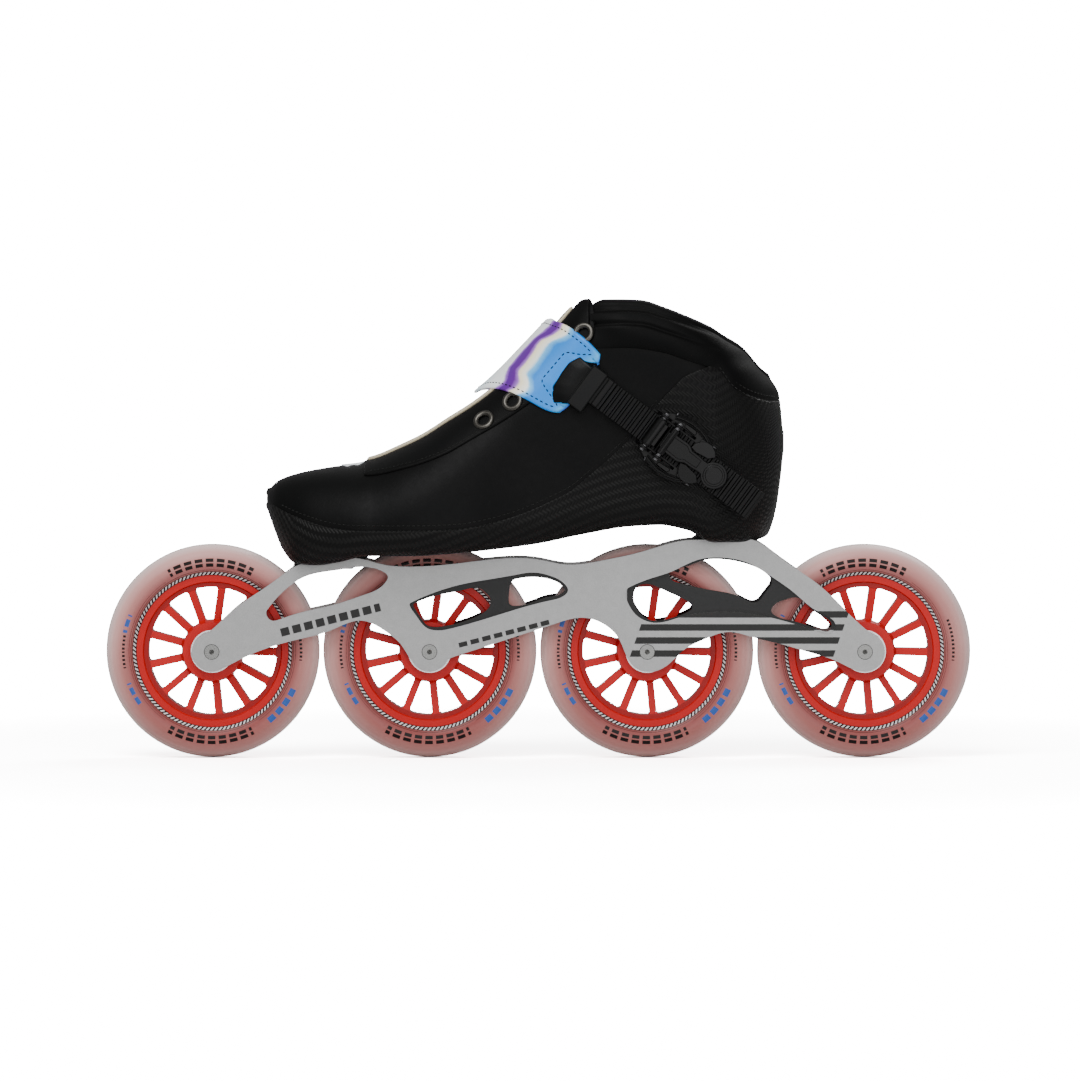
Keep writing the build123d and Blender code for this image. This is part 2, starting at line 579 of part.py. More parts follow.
def bar(s, n, radius, half_t):
    """Round bar across the ladder."""
    return Pos(s, 0, n) * Cylinder(radius, 2 * half_t, rotation=(90, 0, 0))


def rivet(s):
    """Flush rivet through the buckle's base, its saddle and the boot's wall."""
    shank = Pos(s, 0, (BASE_TOP - 7.0) / 2) * Cylinder(2.0, BASE_TOP + 7.0)
    return shank + Pos(s, 0, -7.0) * Cylinder(4.0, 1.0)


def make_buckle(outer):
    """Ratchet buckle on the outer ankle, with its ladder, lever, pawl, pins and springs."""
    plate = slab(-12, 21, WALL_OUT, 0, BASE_TOP)
    base = plate
    for side in (-1, 1):
        cheek = slab(-11, 5, (WALL_OUT - WALL_IN) / 2, BASE_TOP, 9.0, side * (WALL_IN + WALL_OUT) / 2)
        guard = slab(-7, 14, 1.0, 0, 4.5, side * (WALL_OUT + 1.0))
        base = base + cheek + guard
    base = base - bar(0, LEVER_PIN_N, 1.4, 20) - bar(PAWL_PIN_S, PAWL_PIN_N, 1.4, 20)
    rivets = [BUCKLE * rivet(s) for s in RIVET_S]
    keep("buckle_rivets", *rivets)
    keep("buckle_base", BUCKLE * base - rivets)
    saddle = ((BUCKLE * slab(-12, 21, WALL_OUT, -9.0, 0)) - outer) - rivets
    keep("buckle_saddle", max(saddle.solids(), key=lambda s: -s.center().Y))
    for name in ("carbon_shell", "upper"):
        nodes[name] = biggest(nodes[name] - rivets)
    keep("lever_pin", BUCKLE * bar(0, LEVER_PIN_N, 1.4, WALL_OUT))
    keep("pawl_pin", BUCKLE * bar(PAWL_PIN_S, PAWL_PIN_N, 1.4, WALL_OUT))
    ladder = slab(-47, 55, LADDER_HALF, LADDER_LOW, LADDER_LOW + LADDER_THICK)
    ladder = ladder + Pos(55, 0, LADDER_LOW + LADDER_THICK / 2) * Cylinder(LADDER_HALF, LADDER_THICK)
    ladder = ladder - slab(58, 70, 20, 0, 8)
    s = -38.0
    while s < 56.0:
        ladder = ladder + slab(s, s + 1.7, LADDER_HALF - 0.4, LADDER_LOW + LADDER_THICK - 0.2, RIB_TOP)
        s += RIB_PITCH
    keep("ladder_strap", BUCKLE * ladder)
    keeper = slab(-53.5, -44.5, 12.0, LADDER_LOW - 1.8, RIB_TOP + 1.6, -3.0)
    keeper = keeper - slab(-60, -40, 8.2, LADDER_LOW, LADDER_LOW + LADDER_THICK, 0)
    keep("strap_keeper", BUCKLE * keeper)
    barrel = bar(0, LEVER_PIN_N, 2.4, WALL_IN - 0.2)
    arm = slab(0, 24, 5.0, LEVER_PIN_N - 1.4, LEVER_PIN_N + 1.6)
    pad = Pos(29, 0, LEVER_PIN_N - 0.2) * Cylinder(6.9, 3.6)
    lever = (barrel + arm + pad) - bar(0, LEVER_PIN_N, 1.45, 30)
    keep("buckle_lever", BUCKLE * lever)
    pawl = bar(PAWL_PIN_S, PAWL_PIN_N, 2.3, 6.4)
    pawl = pawl + slab(PAWL_PIN_S, PAWL_PIN_S + 5.2, 6.4, RIB_TOP + 0.35, PAWL_PIN_N)
    pawl = pawl + slab(PAWL_PIN_S - 6.5, PAWL_PIN_S, 6.4, PAWL_PIN_N + 0.4, PAWL_PIN_N + 2.2)
    pawl = pawl - bar(PAWL_PIN_S, PAWL_PIN_N, 1.45, 30)
    keep("release_pawl", BUCKLE * pawl)


make_wheels()
boot_form = make_boot()
make_frame(boot_form)
make_eyelets()
make_strap()
make_buckle(boot_form)

os.makedirs("parts", exist_ok=True)
for name, shape in nodes.items():
    export_step(shape, f"parts/{name}.step")
print(len(nodes), "nodes")
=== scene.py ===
import math
from functools import partialmethod

import bmesh
import bpy
import numpy as np
from mathutils import Matrix, Vector


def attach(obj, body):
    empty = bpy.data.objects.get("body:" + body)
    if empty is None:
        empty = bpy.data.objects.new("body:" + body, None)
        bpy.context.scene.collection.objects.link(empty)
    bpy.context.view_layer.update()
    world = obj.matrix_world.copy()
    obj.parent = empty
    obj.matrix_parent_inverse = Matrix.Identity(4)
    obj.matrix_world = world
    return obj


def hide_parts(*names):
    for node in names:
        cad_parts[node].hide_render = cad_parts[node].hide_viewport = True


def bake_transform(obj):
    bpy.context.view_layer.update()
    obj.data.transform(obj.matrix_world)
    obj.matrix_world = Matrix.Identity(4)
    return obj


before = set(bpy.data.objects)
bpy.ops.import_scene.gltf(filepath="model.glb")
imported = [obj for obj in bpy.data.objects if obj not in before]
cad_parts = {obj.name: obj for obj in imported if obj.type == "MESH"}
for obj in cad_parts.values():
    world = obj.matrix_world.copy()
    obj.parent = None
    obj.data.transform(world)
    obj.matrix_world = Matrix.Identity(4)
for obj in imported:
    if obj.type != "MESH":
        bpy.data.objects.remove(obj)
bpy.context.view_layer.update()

# Lengths below are in millimetres, and MM turns them into the frame's metres.
MM = 0.001
ROOT = "boot_and_frame"
WHEEL_R = 55.0
AXLE_PITCH = 111.76
SIDES = {-1: "outer", 1: "inner"}
AXLE_XS = [(i - 1.5) * AXLE_PITCH for i in range(4)]

def curve(points):
    """Smooth function through (x, value) points that never overshoots them."""
    xs, ys = np.array(points, float).T
    steps = np.diff(ys) / np.diff(xs)
    slopes = np.concatenate([steps[:1], np.zeros(len(xs) - 2), steps[-1:]])
    for k in range(1, len(xs) - 1):
        if steps[k - 1] * steps[k] > 0:
            slopes[k] = 2 * steps[k - 1] * steps[k] / (steps[k - 1] + steps[k])

    def at(x):
        x = np.clip(x, xs[0], xs[-1])
        i = np.clip(np.searchsorted(xs, x, side="right") - 1, 0, len(xs) - 2)
        span = xs[i + 1] - xs[i]
        t = (x - xs[i]) / span
        value = (1 + 2 * t) * (1 - t) ** 2 * ys[i] + t * t * (3 - 2 * t) * ys[i + 1]
        return value + span * (t * (1 - t) ** 2 * slopes[i] + t * t * (t - 1) * slopes[i + 1])

    return at


# The boot's form in millimetres: sole line, top line and half widths, within 2 mm of the CAD model's
sole = curve([(-138.5, 129), (-136, 118.5), (-131, 108.5), (-124, 102.4), (-114, 101.8), (-102, 103.6),
    (-88, 106.8), (-65, 106.9), (-40, 108.5), (-3, 112.6), (21.5, 117.5), (46, 121.6), (62, 122.4),
    (77, 119.6), (90, 113.5), (106, 113.4), (116, 115.5), (120.3, 126), (122.5, 140), (124.2, 158)])
top = curve([(-138.5, 137), (-133, 142), (-121, 146), (-102, 149.3), (-92, 150.5), (-84, 153), (-71, 159.3),
    (-59, 165.8), (-46.6, 174.5), (-34, 183.5), (-20, 195.5), (-5, 211), (10, 227), (25, 243), (42, 252),
    (62, 252), (80, 246), (95, 233), (106, 216), (116, 199), (122, 187), (124.2, 168)])
outer_half = curve([(-138.5, 40), (-110, 41), (-85, 45), (-60, 47.5), (-40, 46.5), (-10, 41), (30, 37),
    (60, 36), (124, 34)])
inner_half = curve([(-138.5, 42), (-110, 46), (-85, 49), (-65, 49), (-40, 45), (-10, 38.5), (30, 35.5),
    (60, 36), (124, 34)])
high_half = curve([(-138.5, 40), (-60, 42), (-20, 37), (10, 36), (60, 38), (124, 37)])
heel_back = curve([(112, 117), (126, 120.5), (140, 122.8), (158, 124.6), (178, 124.2), (188, 122.4),
    (197, 117.5), (206, 110.5), (216, 107), (260, 104)])
TOE_TIP = -139.0
SHELL_END = 124.4
# Behind this the shell's edge keeps its height
HEEL_TURN = 117.0
# Ends of the eyestays
STAY_FRONT, STAY_REAR = -88.7, 26.5

# Lines across the side of the boot
shell_edge = curve([(-139, 129), (-136, 128.5), (-129, 124.7), (-117.9, 120.4), (-105, 116.9), (-92, 115.7),
    (-58, 116.1), (-41, 116.9), (-24, 119.9), (-9.5, 124.2), (3.4, 129.6), (16.3, 136), (27, 144.9),
    (44.7, 160.8), (55, 173), (62, 182), (68.4, 188.4), (74.6, 194.6), (82.6, 198.1), (89.7, 199.9),
    (93.2, 196.4), (97.7, 190.1), (105.7, 184.8), (114.6, 181.7), (125, 180)])
collar_seam = curve([(27, 212), (31, 211.5), (45, 211.9), (63, 209.7), (76, 205.3), (89.7, 199.9),
    (93.2, 196.4), (97.7, 190.1), (105.7, 184.8), (114.6, 181.7), (125, 180)])
collar_top = curve([(10, 230), (17, 234.6), (27.7, 235.4), (40, 235.6), (52, 235.2), (64.8, 231.8),
    (77, 227.4), (89.6, 222.0), (95.8, 218.0), (103, 213.8), (107, 210.5), (112, 203.5), (125, 194)])
stay_low = curve([(-91, 148), (-88.5, 144.7), (-66.6, 149), (-49.5, 155), (-32.4, 164.4), (-9.5, 178.5),
    (10, 194), (31, 211)])
throat = curve([(-89, 0), (-88, 5), (-85, 9), (-78, 12.5), (-60, 17), (-30, 20.5), (0, 22), (34, 22)])


def dome(u, power=2.0):
    """Rounded rise from 0 at an edge to 1 a unit inside it."""
    u = np.clip(u, 0, 1)
    return (1 - (1 - u) ** power) ** (1 / power)


def smooth(u):
    """Smooth step from 0 to 1."""
    u = np.clip(u, 0, 1)
    return u * u * (3 - 2 * u)


def half_width(x, z, side):
    """Half width of the boot at a point of its side view; side is -1 outer, +1 inner."""
    x, z = np.broadcast_arrays(np.asarray(x, float), np.asarray(z, float))
    bottom = sole(x)
    crest = top(x)
    low = np.where(side < 0, outer_half(x), inner_half(x))
    plain = low + (high_half(x) - low) * smooth((z - bottom) / 90.0)
    crown = dome((crest - z) / np.clip(crest - bottom, 1.0, 46.0), 2.3)
    toe = dome((x - TOE_TIP) / 52.0, 2.2)
    heel = dome((heel_back(z) - x) / 40.0, 2.1)
    edge = 9.0 * (1 - dome((z - bottom) / 12.0)) * np.minimum(1.0, (crest - bottom) / 40.0)
    return np.maximum(plain * crown * toe * heel - edge, 0.0)


def lengths(points):
    """Length along a line at each of its points."""
    return np.concatenate([[0], np.cumsum(np.linalg.norm(np.diff(points, axis=0), axis=1))])


def at_lengths(wanted, along, points):
    """Points of a line at the wanted lengths along it."""
    return np.stack([np.interp(wanted, along, points[:, k]) for k in range(3)], axis=1)


def resample(points, count):
    """The same line with evenly spaced points."""
    along = lengths(points)
    return at_lengths(np.linspace(0, along[-1], count), along, points)


def flank(x, side, z_low, z_high, reach, count):
    """Line up one side of the boot at x, from z_low to z_high or to where its half width falls to reach."""
    t = np.linspace(0, 1, 240)
    z = z_low + (min(z_high, top(x)) - z_low) * np.sin(t * math.pi / 2)
    y = half_width(x, z, side)
    crest = int(np.argmax(y))
    keep = np.ones(len(z), bool)
    keep[crest:] = y[crest:] >= reach
    line = np.stack([np.full(keep.sum(), x), side * y[keep], z[keep]], axis=1)
    if reach <= 0 and z_high >= top(x):
        line[-1, 1] = 0
    return resample(line, count)


def normals(grid):
    """Unit normals of a grid of points."""
    across = np.gradient(grid, axis=0)
    along = np.gradient(grid, axis=1)
    n = np.cross(across, along)
    size = np.linalg.norm(n, axis=2, keepdims=True)
    return n / np.maximum(size, 1e-9)


def outward(grid):
    """Unit normals that point away from the boot's middle."""
    n = normals(grid)
    middle = np.stack([grid[..., 0] * 0.86, grid[..., 1] * 0, np.clip(grid[..., 2], 130, 205)], axis=2)
    flip = np.sign(np.sum(n * (grid - middle), axis=2, keepdims=True))
    vote = 1.0 if flip.sum() >= 0 else -1.0
    return n * vote


def linked(name, data):
    """New object in the scene."""
    obj = bpy.data.objects.new(name, data)
    bpy.context.scene.collection.objects.link(obj)
    return obj


def smooth_object(name, mesh):
    """New smooth-shaded object of a mesh."""
    mesh.polygons.foreach_set("use_smooth", [True] * len(mesh.polygons))
    return linked(name, mesh)


def from_grid(name, grid, closed=False):
    """Mesh object from a grid of points in millimetres, with a UV map in metres along its lines."""
    rows, cols = grid.shape[:2]
    verts = (grid.reshape(-1, 3) * MM).tolist()
    faces, last = [], cols if closed else cols - 1
    for i in range(rows - 1):
        for j in range(last):
            k = (j + 1) % cols
            faces.append((i * cols + j, (i + 1) * cols + j, (i + 1) * cols + k, i * cols + k))
    mesh = bpy.data.meshes.new(name)
    mesh.from_pydata(verts, [], faces)
    along = np.zeros((rows, cols))
    along[1:] = np.cumsum(np.linalg.norm(np.diff(grid, axis=0), axis=2), axis=0)
    along -= along[rows // 2:rows // 2 + 1]
    across = np.zeros((rows, cols))
    across[:, 1:] = np.cumsum(np.linalg.norm(np.diff(grid, axis=1), axis=2), axis=1)
    across -= across[:, cols // 2:cols // 2 + 1]
    spots = np.stack([along, across], axis=2).reshape(-1, 2) * MM
    uv = mesh.uv_layers.new(name="UVMap")
    index = np.empty(len(mesh.loops), int)
    mesh.loops.foreach_get("vertex_index", index)
    uv.data.foreach_set("uv", spots[index].ravel())
    return smooth_object(name, mesh)


def from_bmesh(name, bm, scale=MM):
    """Object from a bmesh, whose points are in millimetres unless scale says otherwise."""
    bmesh.ops.scale(bm, vec=(scale, scale, scale), verts=bm.verts)
    mesh = bpy.data.meshes.new(name)
    bm.to_mesh(mesh)
    bm.free()
    return smooth_object(name, mesh)


def modifier(obj, kind, **settings):
    """Adds a modifier with its settings."""
    m = obj.modifiers.new(kind.lower(), kind)
    for key, setting in settings.items():
        setattr(m, key, setting)
    return m


def thicken(obj, thickness, offset=-1.0):
    """Gives a sheet its thickness in millimetres."""
    modifier(obj, "SOLIDIFY", thickness=thickness * MM, offset=offset)


def round_edges(obj, width, segments, angle):
    """Bevels the edges that are sharper than angle."""
    modifier(obj, "BEVEL", width=width * MM, segments=segments, limit_method="ANGLE",
             angle_limit=math.radians(angle), harden_normals=True)


def finish_piece(obj, material, body=ROOT, replaces=()):
    """Gives a piece its material, attaches it to its body or bakes it in place when body is not a name, and
    hides the CAD nodes that it stands for.
    """
    obj.data.materials.clear()
    obj.data.materials.append(material)
    if replaces:
        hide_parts(*replaces)
    if isinstance(body, str):
        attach(obj, body)
    else:
        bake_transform(obj)
    return obj


# Materials
class Nodes:
    """Short way to build a material's nodes."""

    def __init__(self, name):
        self.material = bpy.data.materials.new(name)
        self.material.use_nodes = True
        self.tree = self.material.node_tree
        self.shader = self.tree.nodes["Principled BSDF"]

    def add(self, kind, inputs=None, **settings):
        node = self.tree.nodes.new(kind)
        for key, setting in settings.items():
            setattr(node, key, setting)
        for key, source in (inputs or {}).items():
            self.feed(node.inputs[key], source)
        return node

    def feed(self, socket, source):
        if isinstance(source, bpy.types.NodeSocket):
            self.tree.links.new(source, socket)
        else:
            socket.default_value = source

    def calc(self, operation, a, b=0.0, c=None):
        inputs = {0: a, 1: b} if c is None else {0: a, 1: b, 2: c}
        return self.add("ShaderNodeMath", inputs, operation=operation).outputs[0]

    mul = partialmethod(calc, "MULTIPLY")
    plus = partialmethod(calc, "ADD")
    mul_add = partialmethod(calc, "MULTIPLY_ADD")
    minus = partialmethod(calc, "SUBTRACT")
    ratio = partialmethod(calc, "DIVIDE")
    above = partialmethod(calc, "GREATER_THAN")
    below = partialmethod(calc, "LESS_THAN")
    size = partialmethod(calc, "ABSOLUTE")
    least = partialmethod(calc, "MINIMUM")
    most = partialmethod(calc, "MAXIMUM")
    fract = partialmethod(calc, "FRACT")
    modulo = partialmethod(calc, "FLOORED_MODULO")
    floor = partialmethod(calc, "FLOOR")
    sine = partialmethod(calc, "SINE")

    def mix(self, factor, a, b):
        node = self.add("ShaderNodeMix", data_type="RGBA")
        for key, source in (("Factor", factor), ("A", a), ("B", b)):
            self.feed(node.inputs[key], (*source, 1) if isinstance(source, tuple) else source)
        return node.outputs["Result"]

    def remap(self, value, low=0.0, high=1.0, to_low=0.0, to_high=1.0):
        inputs = {0: value, 1: low, 2: high, 3: to_low, 4: to_high}
        return self.add("ShaderNodeMapRange", inputs).outputs[0]

    def span(self, value, low, high, soft=0.0001):
        """1 between low and high, falling to 0 over soft on each side."""
        up = self.remap(value, low - soft, low + soft)
        return self.mul(up, self.remap(value, high + soft, high - soft))

    def patch(self, u, u_span, v, v_span):
        """1 where both values lie in their spans."""
        return self.mul(self.span(u, *u_span), self.span(v, *v_span))

    def noise(self, vector, scale, detail=4.0, rough=0.5):
        inputs = {"Vector": vector, "Scale": scale, "Detail": detail, "Roughness": rough}
        return self.add("ShaderNodeTexNoise", inputs).outputs["Fac"]

    def coords(self, which="Object"):
        return self.add("ShaderNodeTexCoord").outputs[which]

    def split(self, vector):
        return self.add("ShaderNodeSeparateXYZ", {0: vector}).outputs

    def ramp(self, factor, stops, interpolation="LINEAR"):
        node = self.add("ShaderNodeValToRGB", {0: factor})
        ramp = node.color_ramp
        ramp.interpolation = interpolation
        while len(ramp.elements) < len(stops):
            ramp.elements.new(0.5)
        for element, (place, colour) in zip(ramp.elements, stops):
            element.position = place
            element.color = (*colour, 1)
        return node.outputs["Color"]

    def bump(self, height, strength, distance):
        inputs = {"Height": height, "Strength": strength, "Distance": distance}
        return self.add("ShaderNodeBump", inputs).outputs["Normal"]

    def set(self, colour, rough, normal, **inputs):
        inputs = {"Base Color": colour, "Roughness": rough, "Normal": normal, **inputs}
        for key, source in inputs.items():
            self.feed(self.shader.inputs[key.replace("_", " ")], source)
        return self.material


def carbon_material():
    """Satin lacquered 2 by 2 twill of fine carbon tows, with a painted sheen on the tows that lie on top,
    brightest along their crowns.
    """
    n = Nodes("carbon_twill")
    uv = n.split(n.coords("UV"))
    tow = 0.00155
    turn = math.radians(38)
    across = n.mul_add(uv[0], math.cos(turn) / tow, n.mul(uv[1], math.sin(turn) / tow))
    along = n.mul_add(uv[0], -math.sin(turn) / tow, n.mul(uv[1], math.cos(turn) / tow))
    cell = n.plus(n.floor(across), n.floor(along))
    over = n.below(n.modulo(cell, 4.0), 1.5)
    wave = n.size(n.sine(n.mul(across, math.pi)))
    weft = n.size(n.sine(n.mul(along, math.pi)))
    height = n.add("ShaderNodeMix", {0: over, 2: wave, 3: weft}).outputs[0]
    blotch = n.noise(n.coords(), 60.0, 4.0)
    # Painted sheen: the tows that lie on top are mixed towards this blotchy lighter tone by their rounded
    # height, while the others stay dark.
    sheen_tone = n.mix(blotch, (0.0030, 0.0030, 0.0030), (0.0085, 0.0085, 0.0082))
    tone = n.mix(n.mul(over, height), (0.0014, 0.0014, 0.0015), sheen_tone)
    rough = n.remap(over, 0, 1, 0.50, 0.38)
    bump = n.bump(height, 0.55, 0.0003)
    return n.set(tone, rough, bump, Specular_IOR_Level=0.15)


def leather_material(name, tone, rough, grain=0.22, sheen=0.0):
    """Fine-grained smooth leather or microfibre."""
    n = Nodes(name)
    here = n.coords()
    pores = n.add("ShaderNodeTexVoronoi", {"Vector": here, "Scale": 1300.0}, feature="DISTANCE_TO_EDGE")
    wrinkle = n.noise(here, 260.0, 6.0, 0.6)
    broad = n.noise(here, 26.0, 3.0, 0.5)
    height = n.mul_add(wrinkle, 0.7, n.mul(pores.outputs["Distance"], 0.8))
    lift = tuple(min(1.0, c * 1.7 + 0.0004) for c in tone)
    colour = n.mix(broad, tone, lift)
    shade = n.remap(wrinkle, 0, 1, rough - 0.07, rough + 0.10)
    return n.set(colour, shade, n.bump(height, grain, 0.0004), Sheen_Weight=sheen,
                 Specular_IOR_Level=0.09)


def fabric_material(name, tone, pitch, rough=0.85):
    """Woven or knitted cloth of a given thread pitch, in metres."""
    n = Nodes(name)
    here = n.split(n.coords())
    up = n.sine(n.mul(here[2], 2 * math.pi / pitch))
    side = n.sine(n.mul(n.plus(here[0], here[1]), 2 * math.pi / pitch))
    weave = n.mul(up, side)
    fuzz = n.noise(n.coords(), 700.0, 4.0, 0.7)
    lift = tuple(min(1.0, c * 1.8 + 0.004) for c in tone)
    colour = n.mix(fuzz, tone, lift)
    height = n.mul_add(weave, 0.5, fuzz)
    return n.set(colour, rough, n.bump(height, 0.5, 0.0003), Sheen_Weight=0.1,
                 Specular_IOR_Level=0.2)


def plastic_material(name, tone, rough, coat=0.0):
    """Moulded plastic with a faint texture."""
    n = Nodes(name)
    here = n.coords()
    spark = n.noise(here, 900.0, 3.0)
    broad = n.noise(here, 30.0, 2.0)
    lift = tuple(min(1.0, c * 1.25 + 0.0005) for c in tone)
    colour = n.mix(broad, tone, lift)
    shade = n.remap(broad, 0, 1, rough - 0.05, rough + 0.07)
    return n.set(colour, shade, n.bump(spark, 0.12, 0.0002), Coat_Weight=coat,
                 Specular_IOR_Level=0.16)


def metal_material(name, tone, rough, blast=0.2, scale=1400.0):
    """Metal with a blasted or ground finish."""
    n = Nodes(name)
    here = n.coords()
    grit = n.noise(here, scale, 3.0)
    broad = n.noise(here, 18.0, 3.0)
    dark = tuple(c * 0.86 for c in tone)
    colour = n.mix(broad, tone, dark)
    shade = n.remap(grit, 0, 1, rough - 0.06, rough + 0.08)
    return n.set(colour, shade, n.bump(grit, blast, 0.0002), Metallic=1.0)


# How softly printed marks end: thin rings and the rope ring in metres, and runs round the tyre in degrees
FINE, FINE_ROPE, TURN = 0.00006, 0.00008, 0.2


def wheel_polar(n):
    """Radius and angle, in metres and radians, about the nearest axle."""
    here = n.split(n.coords())
    pitch = AXLE_PITCH * MM
    wrapped = n.modulo(n.plus(here[0], 2 * pitch), pitch)
    dx = n.minus(wrapped, pitch / 2)
    dz = n.minus(here[2], WHEEL_R * MM)
    radius = n.calc("SQRT", n.plus(n.mul(dx, dx), n.mul(dz, dz)))
    return radius, n.calc("ARCTAN2", dz, dx), here


def tyre_material():
    """Translucent urethane with a printed rope ring, fine lines and plain bars, and painted shade darkening
    its lower part.
    """
    n = Nodes("urethane_print")
    radius, angle, here = wheel_polar(n)
    body = n.ramp(n.remap(radius, 0.039, 0.055),
                  [(0.0, (0.30, 0.050, 0.048)), (0.28, (0.37, 0.095, 0.090)), (0.52, (0.55, 0.215, 0.195)),
                   (0.76, (0.76, 0.42, 0.39)), (1.0, (0.96, 0.80, 0.77))])
    # Painted shade: the tyre's colour is darkened towards its bottom, next to the floor.
    low = n.remap(here[2], 0.062, 0.012)
    cloud = n.noise(n.coords(), 22.0, 3.0)
    body = n.mix(n.mul(cloud, 0.20), body, (0.62, 0.44, 0.42))
    body = n.mix(n.mul(low, 0.55), body, (0.24, 0.045, 0.040))
    degrees = n.mul(angle, 180 / math.pi)
    rope = n.fract(n.mul_add(angle, 118 / (2 * math.pi), n.mul(radius, 420.0)))
    rope_ring = n.span(radius, 0.03935, 0.04075, FINE_ROPE)
    rope_tone = n.mix(n.above(rope, 0.5), (0.80, 0.79, 0.78), (0.012, 0.012, 0.012))
    colour = n.mix(rope_ring, body, rope_tone)
    ink = n.plus(n.span(radius, 0.03905, 0.03930, FINE), n.span(radius, 0.04085, 0.04115, FINE))
    ink = n.plus(ink, n.span(radius, 0.04175, 0.04195, FINE))
    dots = n.above(n.fract(n.mul(degrees, 1.1)), 0.5)
    dotted = n.mul(n.span(radius, 0.04265, 0.04295, FINE), dots)
    away = n.above(n.size(n.minus(n.size(degrees), 90.0)), 34.0)
    ink = n.plus(ink, n.mul(dotted, away))
    cell = n.fract(n.ratio(n.plus(degrees, 360.0), 7.0))
    block = n.mul(n.above(cell, 0.16), n.below(cell, 0.86))
    two_bars = n.plus(n.span(radius, 0.0435, 0.0453), n.span(radius, 0.0460, 0.0478))
    runs = n.plus(n.span(degrees, 63.0, 119.0, TURN), n.span(degrees, -119.0, -63.0, TURN))
    ink = n.plus(ink, n.mul(n.mul(runs, block), two_bars))
    gaps = n.above(n.fract(n.mul(degrees, 0.38)), 0.45)
    small = n.mul(n.span(radius, 0.0450, 0.0464), gaps)
    ink = n.plus(ink, n.mul(small, n.above(n.size(degrees), 169.0)))
    ink = n.plus(ink, n.mul(small, n.span(degrees, -6.0, 22.0, TURN)))
    colour = n.mix(n.least(ink, 0.985), colour, (0.0015, 0.001, 0.001))
    blue_runs = n.plus(n.span(degrees, 156.0, 168.0, TURN), n.span(degrees, -159.0, -143.0, TURN))
    blue = n.mul(n.mul(blue_runs, n.span(radius, 0.0448, 0.0470)), block)
    wide = n.patch(degrees, (-51.0, -24.0, TURN), radius, (0.0445, 0.0476))
    blue = n.plus(blue, n.mul(wide, block))
    colour = n.mix(n.least(blue, 0.92), colour, (0.001, 0.10, 0.42))
    fine = n.noise(n.coords(), 800.0, 3.0)
    shade = n.remap(fine, 0, 1, 0.24, 0.36)
    return n.set(colour, shade, n.bump(fine, 0.05, 0.0002), Specular_IOR_Level=0.18)


def hub_material():
    """Bright red moulded plastic with faint flow marks."""
    n = Nodes("hub_red_plastic")
    radius = wheel_polar(n)[0]
    flow = n.noise(n.coords(), 90.0, 4.0, 0.6)
    colour = n.mix(flow, (0.52, 0.0022, 0.0030), (0.62, 0.0040, 0.0046))
    step = n.remap(radius, 0.0354, 0.0350)
    rim = n.mul(step, n.above(radius, 0.0325))
    colour = n.mix(n.mul(rim, 0.75), colour, (0.26, 0.0025, 0.0030))
    grit = n.noise(n.coords(), 1100.0, 3.0)
    shade = n.remap(grit, 0, 1, 0.30, 0.42)
    return n.set(colour, shade, n.bump(grit, 0.07, 0.0002), Specular_IOR_Level=0.25)


def rail_material():
    """Bead-blasted clear anodised alloy, with black recessed webs, plain bars and plain slanted stripes."""
    n = Nodes("rail_alloy")
    x, y, z = n.split(n.coords())
    grit = n.noise(n.coords(), 2200.0, 3.0, 0.8)
    cloud = n.noise(n.coords(), 300.0, 2.0)
    mottle = n.mul_add(cloud, 0.2, n.mul(grit, 0.8))
    silver = n.mix(mottle, (0.26, 0.262, 0.264), (0.58, 0.582, 0.58))
    depth = n.size(y)
    recessed = n.below(depth, 0.01690)
    middle = n.patch(x, (-0.0665, 0.0165), z, (0.0645, 0.0965))
    rear = n.patch(x, (0.0455, 0.1540), z, (0.0662, 0.1042))
    web = n.mul(recessed, n.least(n.plus(middle, rear), 1.0))
    facing = n.add("ShaderNodeNewGeometry")
    flat = n.above(n.size(n.split(facing.outputs["True Normal"])[1]), 0.7)
    colour = n.mix(web, silver, (0.006, 0.006, 0.0065))
    slope = math.radians(14.5)
    run = n.mul_add(x, math.cos(slope), n.mul(z, math.sin(slope)))
    rise = n.mul_add(x, -math.sin(slope), n.mul(z, math.cos(slope)))
    dashes = n.above(n.fract(n.ratio(n.plus(run, 1.0), 0.0062)), 0.28)
    face = n.mul(n.above(depth, 0.0183), flat)
    crisp = 0.00005
    band = n.patch(rise, (0.0655, 0.0680, crisp), run, (-0.0250, 0.0230))
    front = n.patch(rise, (0.0938, 0.0980, crisp), run, (-0.1120, -0.0590))
    band = n.mul(n.plus(band, front), dashes)
    lean = n.mul_add(z, -0.35, x)
    low, high, pitch, width = 0.0525, 0.0762, 0.0067, 0.0034
    stripe = n.below(n.modulo(n.minus(z, low), pitch), width)
    stripe = n.mul(n.mul(stripe, n.span(z, low, high)), n.span(lean, 0.0285, 0.1330))
    ink = n.mul(n.plus(band, stripe), face)
    colour = n.mix(n.least(ink, 1.0), colour, (0.002, 0.002, 0.002))
    metal = n.minus(1.0, n.most(n.least(ink, 1.0), n.mul(web, 0.9)))
    shade = n.remap(grit, 0, 1, 0.42, 0.62)
    return n.set(colour, shade, n.bump(grit, 0.30, 0.00025), Metallic=metal)


